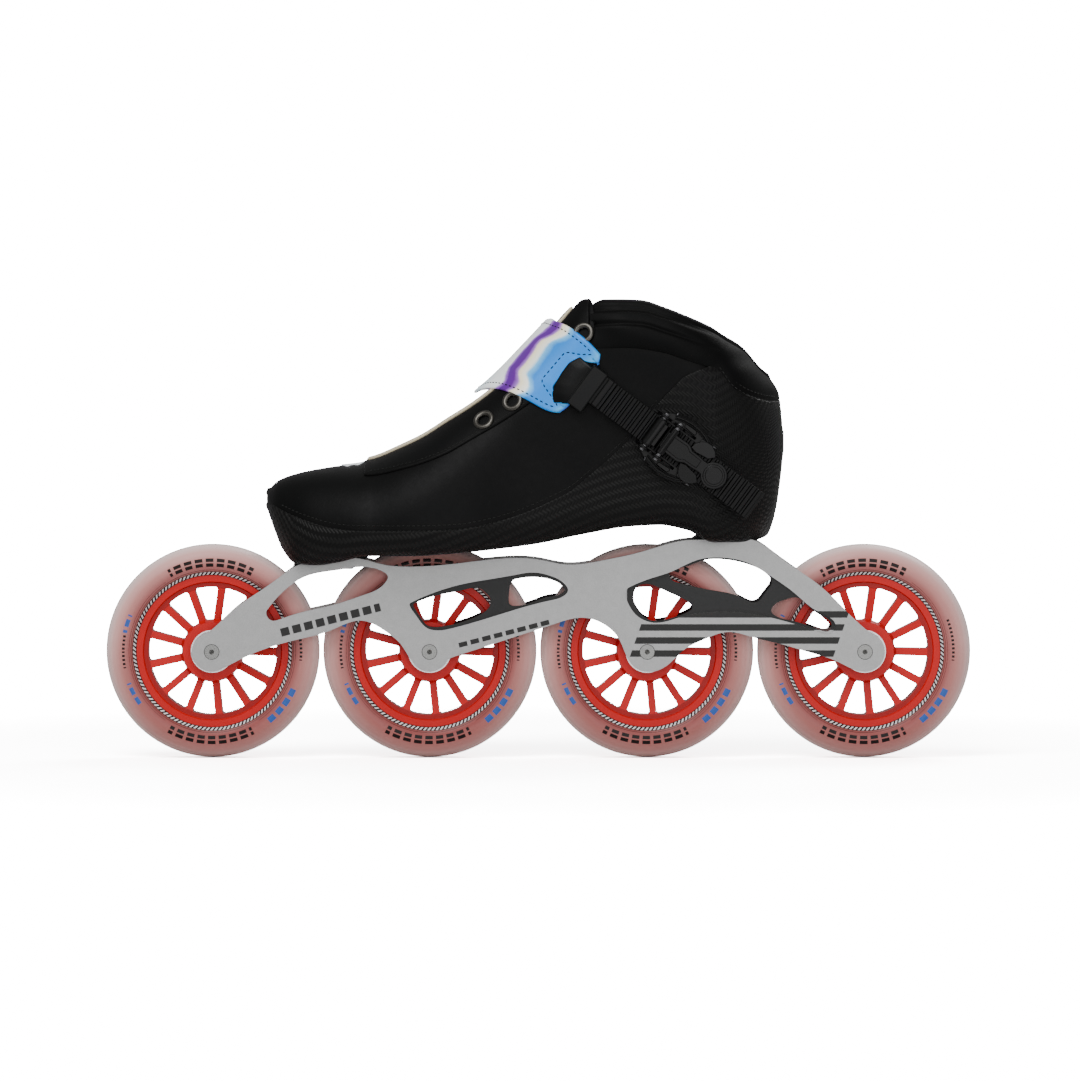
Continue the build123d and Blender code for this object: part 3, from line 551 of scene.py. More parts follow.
def holo_material(name, crest):
    """Iridescent foil with its reflections painted by place: white at its crest, then violet, cream and blue
    bands down both sides, and a painted glow of the same colour.
    """
    n = Nodes(name)
    length = n.split(n.coords("UV"))[1]
    drift = n.noise(n.coords("UV"), 60.0, 3.0)
    from_crest = n.size(n.plus(length, crest))
    place = n.mul_add(drift, 0.10, n.ratio(from_crest, 0.060))
    place = n.minus(place, 0.05)
    # Painted reflection: the foil's iridescent colours are set by distance from the crest.
    colour = n.ramp(place, [
        (0.0, (0.74, 0.88, 0.94)), (0.14, (0.93, 0.96, 0.97)), (0.29, (0.90, 0.93, 0.95)),
        (0.32, (0.34, 0.14, 0.60)), (0.36, (0.10, 0.01, 0.26)), (0.43, (0.11, 0.01, 0.25)),
        (0.47, (0.36, 0.16, 0.58)), (0.50, (0.96, 0.86, 0.60)), (0.57, (0.94, 0.95, 0.86)),
        (0.60, (0.16, 0.52, 0.88)), (0.66, (0.006, 0.20, 0.66)), (0.88, (0.008, 0.22, 0.70)),
        (0.95, (0.05, 0.38, 0.80)), (1.0, (0.02, 0.07, 0.42))])
    wrinkle = n.noise(n.coords(), 180.0, 4.0, 0.6)
    shade = n.remap(wrinkle, 0, 1, 0.26, 0.42)
    # Painted glow: the foil's colour is given again as emission.
    return n.set(colour, shade, n.bump(wrinkle, 0.12, 0.0004), Metallic=0.1, Specular_IOR_Level=0.35,
                 Emission_Color=colour, Emission_Strength=0.36)


def floor_material():
    """Matt white floor that fades into the white background, brightened for the eye alone."""
    n = Nodes("studio_floor")
    here = n.coords()
    speck = n.noise(here, 3.0, 2.0)
    seen = n.add("ShaderNodeLightPath").outputs["Is Camera Ray"]
    plain = n.mix(speck, (0.80, 0.80, 0.80), (0.84, 0.84, 0.84))
    bright = n.mix(speck, (11.0, 11.0, 11.0), (11.4, 11.4, 11.4))
    matt = n.add("ShaderNodeBsdfDiffuse", {"Color": n.mix(seen, plain, bright)}).outputs[0]
    clear = n.add("ShaderNodeBsdfTransparent").outputs[0]
    away = n.add("ShaderNodeVectorMath", {0: here}, operation="LENGTH").outputs["Value"]
    fade = n.add("ShaderNodeMapRange", {0: away, 1: 0.30, 2: 0.62}, interpolation_type="SMOOTHSTEP")
    both = n.add("ShaderNodeMixShader", {0: fade.outputs[0], 1: matt, 2: clear}).outputs[0]
    n.tree.links.new(both, n.tree.nodes["Material Output"].inputs["Surface"])
    return n.material


# The boot's pieces
def stations(low, high, count=230):
    """Places along X, closer together towards the toe and the heel."""
    t = np.linspace(0, 1, count)
    even = low + (high - low) * t
    ends = low + (high - low) * (1 - np.cos(math.pi * t)) / 2
    return 0.35 * even + 0.65 * ends


def nose(row, steps=4):
    """Rows that close the end of a grid by running its outline in to the boot's middle plane."""
    return [row * np.array([1.0, k / steps, 1.0]) for k in range(steps)]


def carbon_shell(material):
    """Shell: a thin laminate from the edge line on one side, under the sole, to the other side."""
    rows = []
    for x in stations(TOE_TIP + 0.1, SHELL_END):
        inside = min(x, HEEL_TURN)
        edge = min(shell_edge(inside) + 2.0, top(inside) - 0.5)
        bottom = sole(x)
        edge = max(edge, bottom + 0.5)
        sides = []
        for side in SIDES:
            t = np.linspace(0, 1, 90)
            z = bottom + (edge - bottom) * (1 - np.cos(t * math.pi / 2))
            held = np.minimum(x, heel_back(z) - 0.02 - 0.02 * (SHELL_END - x))
            lean = 3.0 * smooth((137 - z) / 24.0) * max(0.0, 1 - (x - TOE_TIP) / 16.0)
            sides.append(np.stack([held + lean, side * half_width(held, z, side), z], axis=1))
        floor = np.linspace(sides[0][0], sides[1][0], 20)[1:-1]
        rows.append(resample(np.concatenate([sides[0][::-1], floor, sides[1]]), 150))
    rows = nose(rows[0]) + rows + nose(rows[-1])[::-1]
    obj = from_grid("carbon_shell_skin", np.array(rows))
    thicken(obj, 2.0)
    return finish_piece(obj, material, replaces=("carbon_shell",))


def lap(u, width, height):
    """Rounded edge of a laid-on layer: 0 at its rim and height a little inside it."""
    return height * np.sqrt(np.clip(1 - (1 - np.clip(u / width, 0, 1)) ** 2, 0, 1))


# Side-view centres of the metal eyelets and of the punched holes
EYELETS = [(-27.3, 173.4), (-12.6, 183.3), (0.5, 194.0), (12.5, 206.0), (23.5, 218.1)]
PUNCHED = [(-78.2, 151.0), (-60.8, 156.7), (-44.8, 164.9)]


def upper_half(side):
    """Grid of one side of the leather upper, from the shell's edge up to the throat or the collar."""
    rows = []
    for x in stations(TOE_TIP + 0.15, 90.0, 240):
        low = min(shell_edge(x) - 1.0, top(x) - 1.0)
        high = top(x) + 1 if x < 10 else collar_top(x)
        if x > 27:
            blend = smooth((x - 27) / 4.0)
            high = high + (min(collar_seam(x) + 3.0, high) - high) * blend
        rows.append(flank(x, side, low, max(high, low + 1.0), throat(x), 110))
    grid = np.array(nose(rows[0]) + rows)
    lift = 0.25 + lap(np.linspace(0, 1, 110)[None, :] * 40.0, 1.2, 0.75)
    creases = 0.28 * np.sin(grid[..., 0] / 9.0 + grid[..., 2] / 14.0) * np.sin(grid[..., 2] / 11.0)
    fade = smooth((grid[..., 0] + 60) / 60.0)
    return grid + outward(grid) * (lift + creases * fade)[..., None]


def upper(material):
    """Leather upper in one piece: toe box, both quarters and the throat's edges."""
    bm = bmesh.new()
    for side in SIDES:
        half = from_grid(f"upper_half_{SIDES[side]}", upper_half(side))
        bm.from_mesh(half.data)
        bpy.data.objects.remove(half)
    bmesh.ops.remove_doubles(bm, verts=bm.verts, dist=0.00005)
    bmesh.ops.recalc_face_normals(bm, faces=bm.faces)
    obj = from_bmesh("leather_upper", bm, 1.0)
    thicken(obj, 1.4)
    return finish_piece(obj, material, replaces=("upper",))


def around(angle, z, centre=62.0):
    """Points of the boot's form at heights z, seen from a point inside the ankle at the given angles."""
    near = np.zeros_like(z)
    far = np.full_like(z, 130.0)
    for _ in range(34):
        r = (near + far) / 2
        x = centre + r * np.cos(angle)
        y = r * np.sin(angle)
        inside = (np.abs(y) < half_width(x, z, np.sign(y))) & (x < heel_back(z)) & (z < top(x))
        near = np.where(inside, r, near)
        far = np.where(inside, far, r)
    return np.stack([centre + near * np.cos(angle), near * np.sin(angle), z], axis=-1)


def collar(material):
    """Padded collar: swells between its seam and its rim, with two stitched folds, and rolls inside."""
    count, rise = 260, 46
    angle = np.linspace(math.radians(-143), math.radians(143), count)[:, None] * np.ones((1, rise))
    t = np.linspace(0, 1, rise)[None, :] * np.ones((count, 1))
    z = np.full((count, rise), 212.0)
    for _ in range(14):
        spot = around(angle, z)
        low = collar_seam(spot[..., 0]) - 1.0
        high = collar_top(spot[..., 0]) - 4.0
        z = 0.5 * z + 0.5 * (low + (high - low) * t)
    outside = around(angle, z)
    n = outward(outside)
    x = outside[..., 0]
    fullness = (0.10 + 0.90 * smooth((x - 24) / 22.0)) * (1 - 0.75 * smooth((x - 98) / 20.0))
    swell = 0.9 + 3.0 * fullness * np.sin(math.pi * np.clip(t, 0, 1)) ** 0.7
    depth = collar_top(x) - outside[..., 2]
    front = smooth((95 - x) / 30.0)
    for place, deep in ((5.6, 0.9), (12.6, 1.2)):
        swell = swell - deep * front * np.exp(-((depth - place) / 1.1) ** 2)
    wrinkle = 0.35 * np.sin(x / 6.0 + 1.4 * np.sin(outside[..., 2] / 5.0))
    skin = outside + n * (swell + wrinkle * np.sin(math.pi * t))[..., None]
    rim = skin[:, -1]
    inward = np.stack([62 - outside[:, -1, 0], -outside[:, -1, 1], 0 * outside[:, -1, 0]], axis=1)
    inward /= np.linalg.norm(inward, axis=1, keepdims=True)
    roll = []
    for a in np.linspace(0, math.pi, 14)[1:]:
        roll.append(rim + inward * 4.2 * (1 - math.cos(a)) + np.array([0, 0, 4.0 * math.sin(a)]))
    drops = (3, 7, 12, 18, 26, 36, 48)
    inner = [roll[-1] + np.array([0, 0, -d]) + inward * min(2.0, d * 0.12) for d in drops]
    lining = np.stack(roll + inner, axis=1)
    facing = skin[:, np.linspace(rise - 1, 0, lining.shape[1]).astype(int)] - n[:, :1] * 0.6
    from_end = np.minimum(np.arange(count), count - 1 - np.arange(count))[:, None, None]
    closed = np.sqrt(1 - (1 - np.clip(from_end / 7.0, 0, 1)) ** 2)
    grid = np.concatenate([skin, facing + (lining - facing) * closed], axis=1)
    obj = from_grid("padded_collar", grid)
    modifier(obj, "SUBSURF", levels=1, render_levels=1)
    return finish_piece(obj, material, replaces=("collar",))


def crown_z(x, y):
    """Height of the boot's form at x where its half width falls to |y|, near the crest."""
    z = sole(x) + (top(x) - sole(x)) * np.sin(np.linspace(0.55, 1, 400) * math.pi / 2)
    widths = half_width(x, z, -1)
    crest = int(np.argmax(widths))
    return np.interp(-np.abs(y), -widths[crest:], z[crest:])


def crown_sheet(x_low, x_high, reach, count, across, depth):
    """Grid that follows the crest of the boot's form, moved inside it by depth."""
    rows = []
    for x in np.linspace(x_low, x_high, count):
        y = np.linspace(-1, 1, across) * reach(x)
        rows.append(np.stack([np.full(across, x), y, crown_z(x, y)], axis=1))
    grid = np.array(rows)
    return grid - outward(grid) * depth


def tongue(material):
    """Padded tongue with cross channels, under the throat from the toe to above the ankle."""
    reach = curve([(-92, 10), (-80, 17), (-50, 22), (0, 25), (20, 24)])
    grid = crown_sheet(-91.0, 15.5, reach, 200, 41, 2.2)
    grid[..., 2] = np.minimum(grid[..., 2], 238.0)
    along = np.linspace(0, 1, 200)[:, None]
    across = np.linspace(-1, 1, 41)[None, :]
    quilt = 1.1 * np.abs(np.sin(along * math.pi * 12)) ** 0.5 * (1 - across ** 4)
    grid = grid + outward(grid) * quilt[..., None]
    obj = from_grid("padded_tongue", grid)
    thicken(obj, 5.0)
    modifier(obj, "SUBSURF", levels=1, render_levels=1)
    return finish_piece(obj, material, replaces=("tongue",))


def footbed(material):
    """Thin lined footbed on the inside of the sole."""
    rows = []
    for x in np.linspace(-124, 112, 120):
        z = sole(x) + 9.0
        reach = [half_width(x, z, side) - 3.6 for side in (-1, 1)]
        y = np.linspace(-max(reach[0], 1.0), max(reach[1], 1.0), 30)
        cup = 1.6 * (np.abs(y) / max(reach)) ** 3
        rows.append(np.stack([np.full(30, x), y, z + cup - 4.0], axis=1))
    obj = from_grid("footbed_sheet", np.array(rows))
    thicken(obj, 3.0, 1.0)
    return finish_piece(obj, material, replaces=("footbed",))


def eyestay(side, material):
    """Laid-on reinforcement that carries the eyelets, with rounded edges and eyelet wells."""
    rows = []
    for x in np.linspace(STAY_FRONT, STAY_REAR, 260):
        low = stay_low(x)
        high = min(top(x) + 1, collar_top(x) - 0.3) if x > 10 else top(x) + 1
        rows.append(flank(x, side, low, high, throat(x) - 0.4, 44))
    grid = np.array(rows)
    gap = np.linspace(0, 1, 44)[None, :]
    width = np.linalg.norm(grid[:, -1] - grid[:, 0], axis=1)[:, None]
    from_rim = np.minimum(gap, 1 - gap) * width
    ends = np.minimum(grid[..., 0] - STAY_FRONT, STAY_REAR - grid[..., 0])
    lift = 0.9 + lap(np.minimum(from_rim, ends + 0.4), 1.3, 1.0)
    for x, z in EYELETS:
        centre = np.array([x, side * half_width(x, z, side), z])
        lift = lift - 5.0 * (np.linalg.norm(grid - centre, axis=2) < 3.3)
    skin = grid + outward(grid) * lift[..., None]
    name = f"eyestay_{SIDES[side]}"
    obj = from_grid(f"{name}_skin", skin[:, ::-side])
    thicken(obj, 1.2)
    return finish_piece(obj, material, replaces=(name,))


def form_frame(x, z, side, lift):
    """Placement on the boot's form: local Z points outward and local X along +X of the skate."""
    step = 0.6
    y = half_width(x, z, side)
    dx = (half_width(x + step, z, side) - half_width(x - step, z, side)) / (2 * step)
    dz = (half_width(x, z + step, side) - half_width(x, z - step, side)) / (2 * step)
    n = Vector((-dx, side, -dz)).normalized()
    right = (Vector((1, 0, 0)) - n * n.x).normalized()
    up = n.cross(right)
    spot = Vector((x, side * y, z)) + n * lift
    m = Matrix((right, up, n)).transposed().to_4x4()
    m.translation = spot
    return m


def turned_profile(bm, profile, matrix, steps=40):
    """Revolves (radius, height) corners about local Z and adds the result to bm."""
    rings = []
    for k in range(steps):
        a = 2 * math.pi * k / steps
        spots = [Vector((r * math.cos(a), r * math.sin(a), h)) for r, h in profile]
        rings.append([bm.verts.new(matrix @ spot) for spot in spots])
    for k in range(steps):
        a, b = rings[k], rings[(k + 1) % steps]
        for j in range(len(profile) - 1):
            bm.faces.new((a[j], b[j], b[j + 1], a[j + 1]))


def eyelets(side, material):
    """Five rolled metal eyelets on one side, with a dark well behind each."""
    bm = bmesh.new()
    profile = [(3.0, -1.6), (3.0, 0.2)]
    profile += [(4.3 + 1.3 * math.cos(a), 0.15 + 0.75 * math.sin(a)) for a in np.linspace(math.pi, 0, 12)]
    profile += [(5.65, -0.4)]
    for x, z in EYELETS:
        turned_profile(bm, profile, form_frame(x, z, side, 1.9))
    name = f"eyelets_{SIDES[side]}"
    obj = from_bmesh(f"{name}_rings", bm)
    return finish_piece(obj, material, replaces=(name,))


def punched_holes(side, material):
    """Small dark lace holes punched in front of the metal eyelets."""
    bm = bmesh.new()
    profile = [(0.0, -1.3), (1.0, -1.2), (1.15, -0.1), (1.7, 0.12), (1.9, -0.1)]
    for x, z in PUNCHED:
        turned_profile(bm, profile, form_frame(x, z, side, 1.75), steps=20)
    obj = from_bmesh(f"punched_holes_{SIDES[side]}", bm)
    return finish_piece(obj, material)


def stitch_line(bm, points, lifts, pitch=2.6, length=1.9, radius=0.26):
    """Separate sewn stitches along a line of points, each a small capsule."""
    along = lengths(points)
    places = np.arange(pitch / 2, along[-1], pitch)
    middle = at_lengths(places, along, points)
    ahead = at_lengths(places + 0.4, along, points)
    ups = at_lengths(places, along, lifts)
    for spot, nxt, up in zip(middle, ahead, ups):
        run = Vector(nxt - spot)
        if run.length < 1e-6:
            continue
        run.normalize()
        n = Vector(up).normalized()
        side = run.cross(n).normalized()
        m = Matrix((run * length / 2, side * radius, n * radius)).transposed().to_4x4()
        m.translation = Vector(spot)
        bmesh.ops.create_icosphere(bm, subdivisions=1, radius=1.0, matrix=m)


def on_form(points_xz, side, lift):
    """Points and unit normals on the boot's form along a side-view line."""
    spots, ups = [], []
    for x, z in points_xz:
        m = form_frame(x, z, side, lift)
        spots.append(list(m.translation))
        ups.append(list(m.to_3x3().col[2]))
    return np.array(spots), np.array(ups)


def stitching(material):
    """Double rows along the shell's edge, a row round each eyestay and a row above the collar's seam."""
    bm = bmesh.new()
    for side in SIDES:
        for above in (2.0, 4.6):
            line = [(x, shell_edge(x) + above) for x in np.linspace(-131, 60, 120)]
            stitch_line(bm, *on_form(line, side, 1.05))
        for above in (1.6, 4.2):
            line = [(x, shell_edge(x) + above) for x in np.linspace(91, 119.5, 24)]
            stitch_line(bm, *on_form(line, side, 2.6))
        line = [(x, stay_low(x) + 1.9) for x in np.linspace(-86, 24, 90)]
        stitch_line(bm, *on_form(line, side, 1.9), pitch=2.2, length=1.6, radius=0.22)
    obj = from_bmesh("stitching", bm)
    return finish_piece(obj, material)


def tube(name, points, radius, material, body=ROOT, ring=10):
    """Round tube along a line of points."""
    line = np.array(points)
    tangent = np.gradient(line, axis=0)
    tangent /= np.linalg.norm(tangent, axis=1, keepdims=True)
    side = np.cross(tangent, [0.0, 0.0, 1.0])
    side /= np.maximum(np.linalg.norm(side, axis=1, keepdims=True), 1e-6)
    up = np.cross(side, tangent)
    a = np.linspace(0, 2 * math.pi, ring, endpoint=False)
    taper = np.ones(len(line))
    taper[0] = taper[-1] = 0.3
    grid = line[:, None] + radius * taper[:, None, None] * (
        side[:, None] * np.cos(a)[None, :, None] + up[:, None] * np.sin(a)[None, :, None])
    obj = from_grid(name, grid, closed=True)
    return finish_piece(obj, material, body=body)


def tongue_piping(material):
    """Pale bound edge that shows along the throat."""
    for side, word in SIDES.items():
        points = []
        for x in np.linspace(-88, 17.5, 126):
            reach = throat(x) * 0.93
            z = crown_z(x, np.array([reach]))[0]
            points.append((x, side * reach, z + 2.2))
        tube(f"throat_piping_{word}", points, 0.95, material)


def toe_patch(material):
    """Two-lobed foil patch at the front of the throat."""
    x = np.linspace(0, 1, 40)[:, None] * np.ones((1, 30))
    v = np.linspace(-1, 1, 30)[None, :] * np.ones((40, 1))
    reach = 8.5 * np.sqrt(np.clip(1 - (2 * x - 1) ** 2, 0, 1)) * (1 - 0.26 * np.cos(4 * math.pi * x))
    px = -101.5 + 12.5 * x
    py = v * reach
    pz = np.array([crown_z(px[i, 0], py[i]) for i in range(40)])
    grid = np.stack([px, py, pz], axis=2)
    obj = from_grid("toe_patch", grid + outward(grid) * 1.5)
    thicken(obj, 0.8)
    return finish_piece(obj, material)


# The instep strap. On the skate its sewn end stays with the boot and the rest slides with the ladder; here
# STRAP_BEND is passed as the body of its pieces, and finish_piece only bakes them in place.
# The notch and the cut corners of its outer end are shares of its length on that side.
NOTCH_DEPTH, CORNER_CUT = 0.30, 0.085
STRAP_BEND = (ROOT, "strap", (0.052, 0.036, 0.150), (0.012, 0.016, 0.198))
FRONT_OUTER = curve([(0, -33), (0.25, -22), (0.45, -12), (0.65, -3), (0.85, 8), (1, 14.4)])
FRONT_OUTER_Z = curve([(0, 184.3), (0.25, 188.5), (0.45, 186.5), (0.65, 182.5), (0.85, 177.2), (1, 180)])
REAR_OUTER = curve([(0, 6), (0.3, 14), (0.5, 20), (0.8, 30), (0.95, 32.4), (1, 32.1)])
REAR_OUTER_Z = curve([(0, 222.7), (0.3, 222.5), (0.5, 219.2), (0.8, 210.5), (0.95, 206.8), (1, 204.3)])
FRONT_INNER = curve([(0, -33), (0.25, -22), (0.5, 2), (0.75, 28), (1, 52)])
FRONT_INNER_Z = curve([(0, 184.3), (0.25, 187), (0.5, 176), (0.75, 157), (1, 138)])
REAR_INNER = curve([(0, 6), (0.3, 16), (0.5, 32), (0.75, 53), (1, 72)])
REAR_INNER_Z = curve([(0, 222.7), (0.3, 221), (0.5, 206), (0.75, 178), (1, 152)])


def soften(grid, turns):
    """The same grid with its lines averaged along their length; their ends stay."""
    grid = grid.copy()
    for _ in range(turns):
        grid[:, 1:-1] = 0.5 * grid[:, 1:-1] + 0.25 * (grid[:, :-2] + grid[:, 2:])
    return grid


def strap_grid():
    """Grid over the instep, from the notched outer end to the sewn inner end."""
    columns = []
    for c in np.linspace(0, 1, 56):
        notch = 1.0 - NOTCH_DEPTH * (smooth((c - 0.08) / 0.24) * smooth((0.92 - c) / 0.22))
        corner = min(1.0, min(c, 1 - c) / 0.09)
        notch -= CORNER_CUT * (1 - math.sqrt(1 - (1 - corner) ** 2))
        line = [strap_point(t, c, -1) for t in np.linspace(notch, 0, 140)]
        line += [strap_point(t, c, 1) for t in np.linspace(0, 1, 160)[1:]]
        columns.append(resample(np.array(line), 190))
    return soften(np.array(columns), 45)


def strap_point(t, c, side):
    """Point of the strap at t along one side and c across, from its front edge to its rear edge."""
    if side < 0:
        front, rear = (FRONT_OUTER(t), FRONT_OUTER_Z(t)), (REAR_OUTER(t), REAR_OUTER_Z(t))
    else:
        front, rear = (FRONT_INNER(t), FRONT_INNER_Z(t)), (REAR_INNER(t), REAR_INNER_Z(t))
    x = front[0] + (rear[0] - front[0]) * c
    z = front[1] + (rear[1] - front[1]) * c
    crest = top(x)
    z = z + (crest - z) * (1 - smooth(t / 0.22))
    z = min(z, crest)
    y = 0.0 if t <= 0 else side * half_width(x, z, side)
    return (x, y, z)


def instep_strap(face, thread):
    """Foil-faced strap with rounded edges and a stitched border."""
    grid = strap_grid()
    n = soften(outward(grid), 25)
    n /= np.linalg.norm(n, axis=2, keepdims=True)
    across = np.linspace(0, 1, 56)[:, None] * np.ones((1, 190))
    width = np.linalg.norm(grid[-1] - grid[0], axis=1)[None, :]
    rim = np.minimum(across, 1 - across) * width
    obj = from_grid("instep_strap_band", grid + n * (2.9 + lap(rim, 1.4, 0.8))[..., None])
    thicken(obj, 1.3)
    bm = bmesh.new()
    for line in (np.s_[4, 8:182], np.s_[51, 8:182], np.s_[4:52, 7]):
        stitch_line(bm, grid[line] + n[line] * 3.75, n[line], pitch=2.9, length=2.1, radius=0.34)
    seam = from_bmesh("instep_strap_stitches", bm)
    finish_piece(seam, thread, body=STRAP_BEND)
    finish_piece(obj, face, body=STRAP_BEND, replaces=("instep_strap",))
    return obj, seam


def strap_patch(material, thread):
    """Leather patch sewn over the strap's inner end."""
    corners = np.array([[(43, 146), (66, 163)], [(58, 130), (80, 147)]], float)
    u = np.linspace(0, 1, 26)[:, None, None]
    v = np.linspace(0, 1, 34)[None, :, None]
    low = corners[0, 0] + (corners[0, 1] - corners[0, 0]) * v
    high = corners[1, 0] + (corners[1, 1] - corners[1, 0]) * v
    side = low + (high - low) * u
    x, z = side[..., 0], side[..., 1]
    grid = np.stack([x, half_width(x, z, 1), z], axis=2)
    rim = np.minimum(np.minimum(u, 1 - u) * 22.0, np.minimum(v, 1 - v) * 27.0)[..., 0]
    n = outward(grid)
    skin = grid + n * (1.4 + lap(rim, 3.2, 3.2))[..., None]
    obj = from_grid("strap_end_patch", skin)
    thicken(obj, 1.2)
    finish_piece(obj, material)
    bm = bmesh.new()
    for line in (np.s_[5], np.s_[20], np.s_[5:21, 5], np.s_[5:21, 28]):
        stitch_line(bm, skin[line] + n[line] * 0.1, n[line], pitch=2.4, length=1.7, radius=0.24)
    finish_piece(from_bmesh("strap_end_stitches", bm), thread)


# The buckle's own axes: s along the ladder, t across it, n outward
BUCKLE_AT = (66.0, -39.5, 163.5)
SLOPE = math.radians(36.5)


def buckle_matrix():
    """Placement of the buckle's own axes in the frame, in millimetres."""
    s = Vector((math.cos(SLOPE), 0, -math.sin(SLOPE)))
    n = Vector((0, -1, 0))
    t = n.cross(s)
    m = Matrix((s, t, n)).transposed().to_4x4()
    m.translation = Vector(BUCKLE_AT)
    return m


def spline_loop(points, per=6):
    """Closed smooth loop through 2-D points."""
    p = np.array(points, float)
    t = np.linspace(0, 1, per, endpoint=False)[:, None]
    out = []
    for k in range(len(p)):
        a, b, c, d = p[k - 1], p[k], p[(k + 1) % len(p)], p[(k + 2) % len(p)]
        square, cube = 2 * a - 5 * b + 4 * c - d, 3 * b - a - 3 * c + d
        out.append(0.5 * (2 * b + (c - a) * t + square * t ** 2 + cube * t ** 3))
    return np.concatenate(out)


def prism(bm, outline, low, high, matrix, rise=None):
    """Prism with the given outline; rise(point) lifts both of its faces."""
    rings = []
    for level in (low, high):
        lift = [level + (rise(u, v) if rise else 0.0) for u, v in outline]
        rings.append([bm.verts.new(matrix @ Vector((u, v, h))) for (u, v), h in zip(outline, lift)])
    bm.faces.new(rings[1])
    bm.faces.new(rings[0][::-1])
    for k in range(len(outline)):
        j = (k + 1) % len(outline)
        bm.faces.new((rings[0][k], rings[0][j], rings[1][j], rings[1][k]))


def circle(radius, count, s=0.0, t=0.0):
    """Outline of a circle about (s, t)."""
    angles = np.linspace(0, 2 * math.pi, count, endpoint=False)
    return [(s + radius * math.cos(a), t + radius * math.sin(a)) for a in angles]


def mirrored(half):
    """Whole outline from its half on the side of positive t."""
    return half + [(s, -t) for s, t in half[::-1]]


def buckle_piece(name, bm, material, body, bevel, replaces=()):
    """Finishes a moulded piece of the buckle with rounded edges."""
    bmesh.ops.recalc_face_normals(bm, faces=bm.faces)
    obj = from_bmesh(name, bm)
    if bevel:
        round_edges(obj, bevel, 3, 38)
    return finish_piece(obj, material, body=body, replaces=replaces)


def along_t(m, t):
    """Placement whose local X and Y are s and n, at t across the ladder."""
    turn = Matrix(((1, 0, 0), (0, 0, 1), (0, -1, 0))).transposed().to_4x4()
    return m @ Matrix.Translation((0, t, 0)) @ turn


def bowed(s, _):
    """Rise of the base's guards along their length."""
    return 1.4 * math.sin(math.pi * min(max((s + 4.2) / 24.6, 0), 1))


def drooped(_, t):
    """Fall of the base's ears towards their outer edge."""
    return -0.07 * max(abs(t) - 8.0, 0) ** 1.6


def lever_fall(s, _):
    """Fall of the lever's arm away from its pin, and of its thumb pad."""
    return -0.055 * max(s - 2.0, 0) ** 0.98 * (s < 23) - 1.1 * (s >= 23)


def buckle_base(m, material, steel):
    """Base of the buckle: plate, cheeks, curved guards, ears and side loops, with steel pin ends and small
    steel beads as painted glints.
    """
    bm = bmesh.new()
    half = [(-12.0, 6.0), (-11.0, 10.6), (-6.0, 13.4), (0.0, 15.2), (6.0, 15.8), (12.0, 15.2), (17.0, 13.6),
            (21.0, 11.4), (23.0, 7.0)]
    prism(bm, mirrored(half), -0.4, 1.3, m)
    for side in SIDES:
        path = [(-4.2, 14.2), (0.0, 15.5), (5.0, 16.3), (10.0, 15.9), (14.0, 14.8), (17.0, 13.4),
                (20.4, 11.6)]
        for inset, low, high in ((0.0, -2.4, 4.6), (1.9, 0.5, 3.4)):
            outer_edge = [(s, side * (t - inset)) for s, t in path]
            inner_edge = [(s, side * (t - inset - 1.15)) for s, t in path[::-1]]
            prism(bm, outer_edge + inner_edge, low, high, m, bowed)
        cheek = [(-11.6, 1.0), (-11.9, 5.2), (-11.0, 8.2), (-8.9, 9.4), (-6.9, 8.9), (-4.9, 6.3), (-2.9, 6.7),
                 (-1.6, 8.8), (0.2, 9.5), (2.2, 8.7), (4.2, 6.0), (8.6, 3.4), (9.4, 1.0)]
        prism(bm, spline_loop(cheek, 4), 0.0, 1.5, along_t(m, side * 9.55 + 0.75))
        ear = [(11.2, 4.7), (12.0, 7.6), (13.6, 10.2), (16.2, 11.8), (19.4, 11.9), (22.6, 10.2), (24.4, 7.8),
               (21.6, 5.0), (17.8, 4.5), (14.6, 3.9)]
        foot = [(13.0, 9.2), (13.6, 11.6), (19.6, 12.2), (21.4, 10.2), (19.8, 8.9)]
        loop = [(2.2, 10.9), (2.2, 12.9), (8.6, 13.1), (9.6, 11.6), (9.0, 10.5)]
        flaps = ((ear, 4.75, 6.1, drooped), (foot, 0.5, 5.2, None), (loop, 1.0, 3.9, None))
        for outline, low, high, rise in flaps:
            prism(bm, [(s, side * t) for s, t in outline], low, high, m, rise)
    buckle_piece("buckle_base_moulding", bm, material, ROOT, 0.4, replaces=("buckle_base",))
    bm = bmesh.new()
    # Painted glints: the steel beads in ends sit at the plastic guards' ends and on the cheeks, standing in
    # for highlights there; the beads after them are the pins' ends.
    ends = ((-4.2, 13.9, 3.0, 0.55, 1.3), (20.6, 11.6, 2.6, 1.5, 0.6), (4.6, 9.7, 4.6, 0.5, 0.5))
    for s, t, n, long, wide in ends:
        for side in SIDES:
            size = Matrix.Diagonal((long, wide, 0.8, 1))
            spot = m @ Matrix.Translation((s, side * t, n)) @ size
            bmesh.ops.create_icosphere(bm, subdivisions=3, radius=1.0, matrix=spot)
    for half_length, s in ((10.9, -8.6), (10.5, 0.0)):
        for side in SIDES:
            spot = m @ Matrix.Translation((s, side * half_length, 7.0)) @ Matrix.Diagonal((1.5, 0.9, 1.5, 1))
            bmesh.ops.create_icosphere(bm, subdivisions=3, radius=1.0, matrix=spot)
    buckle_piece("buckle_pin_ends_and_glints", bm, steel, ROOT, 0.0)


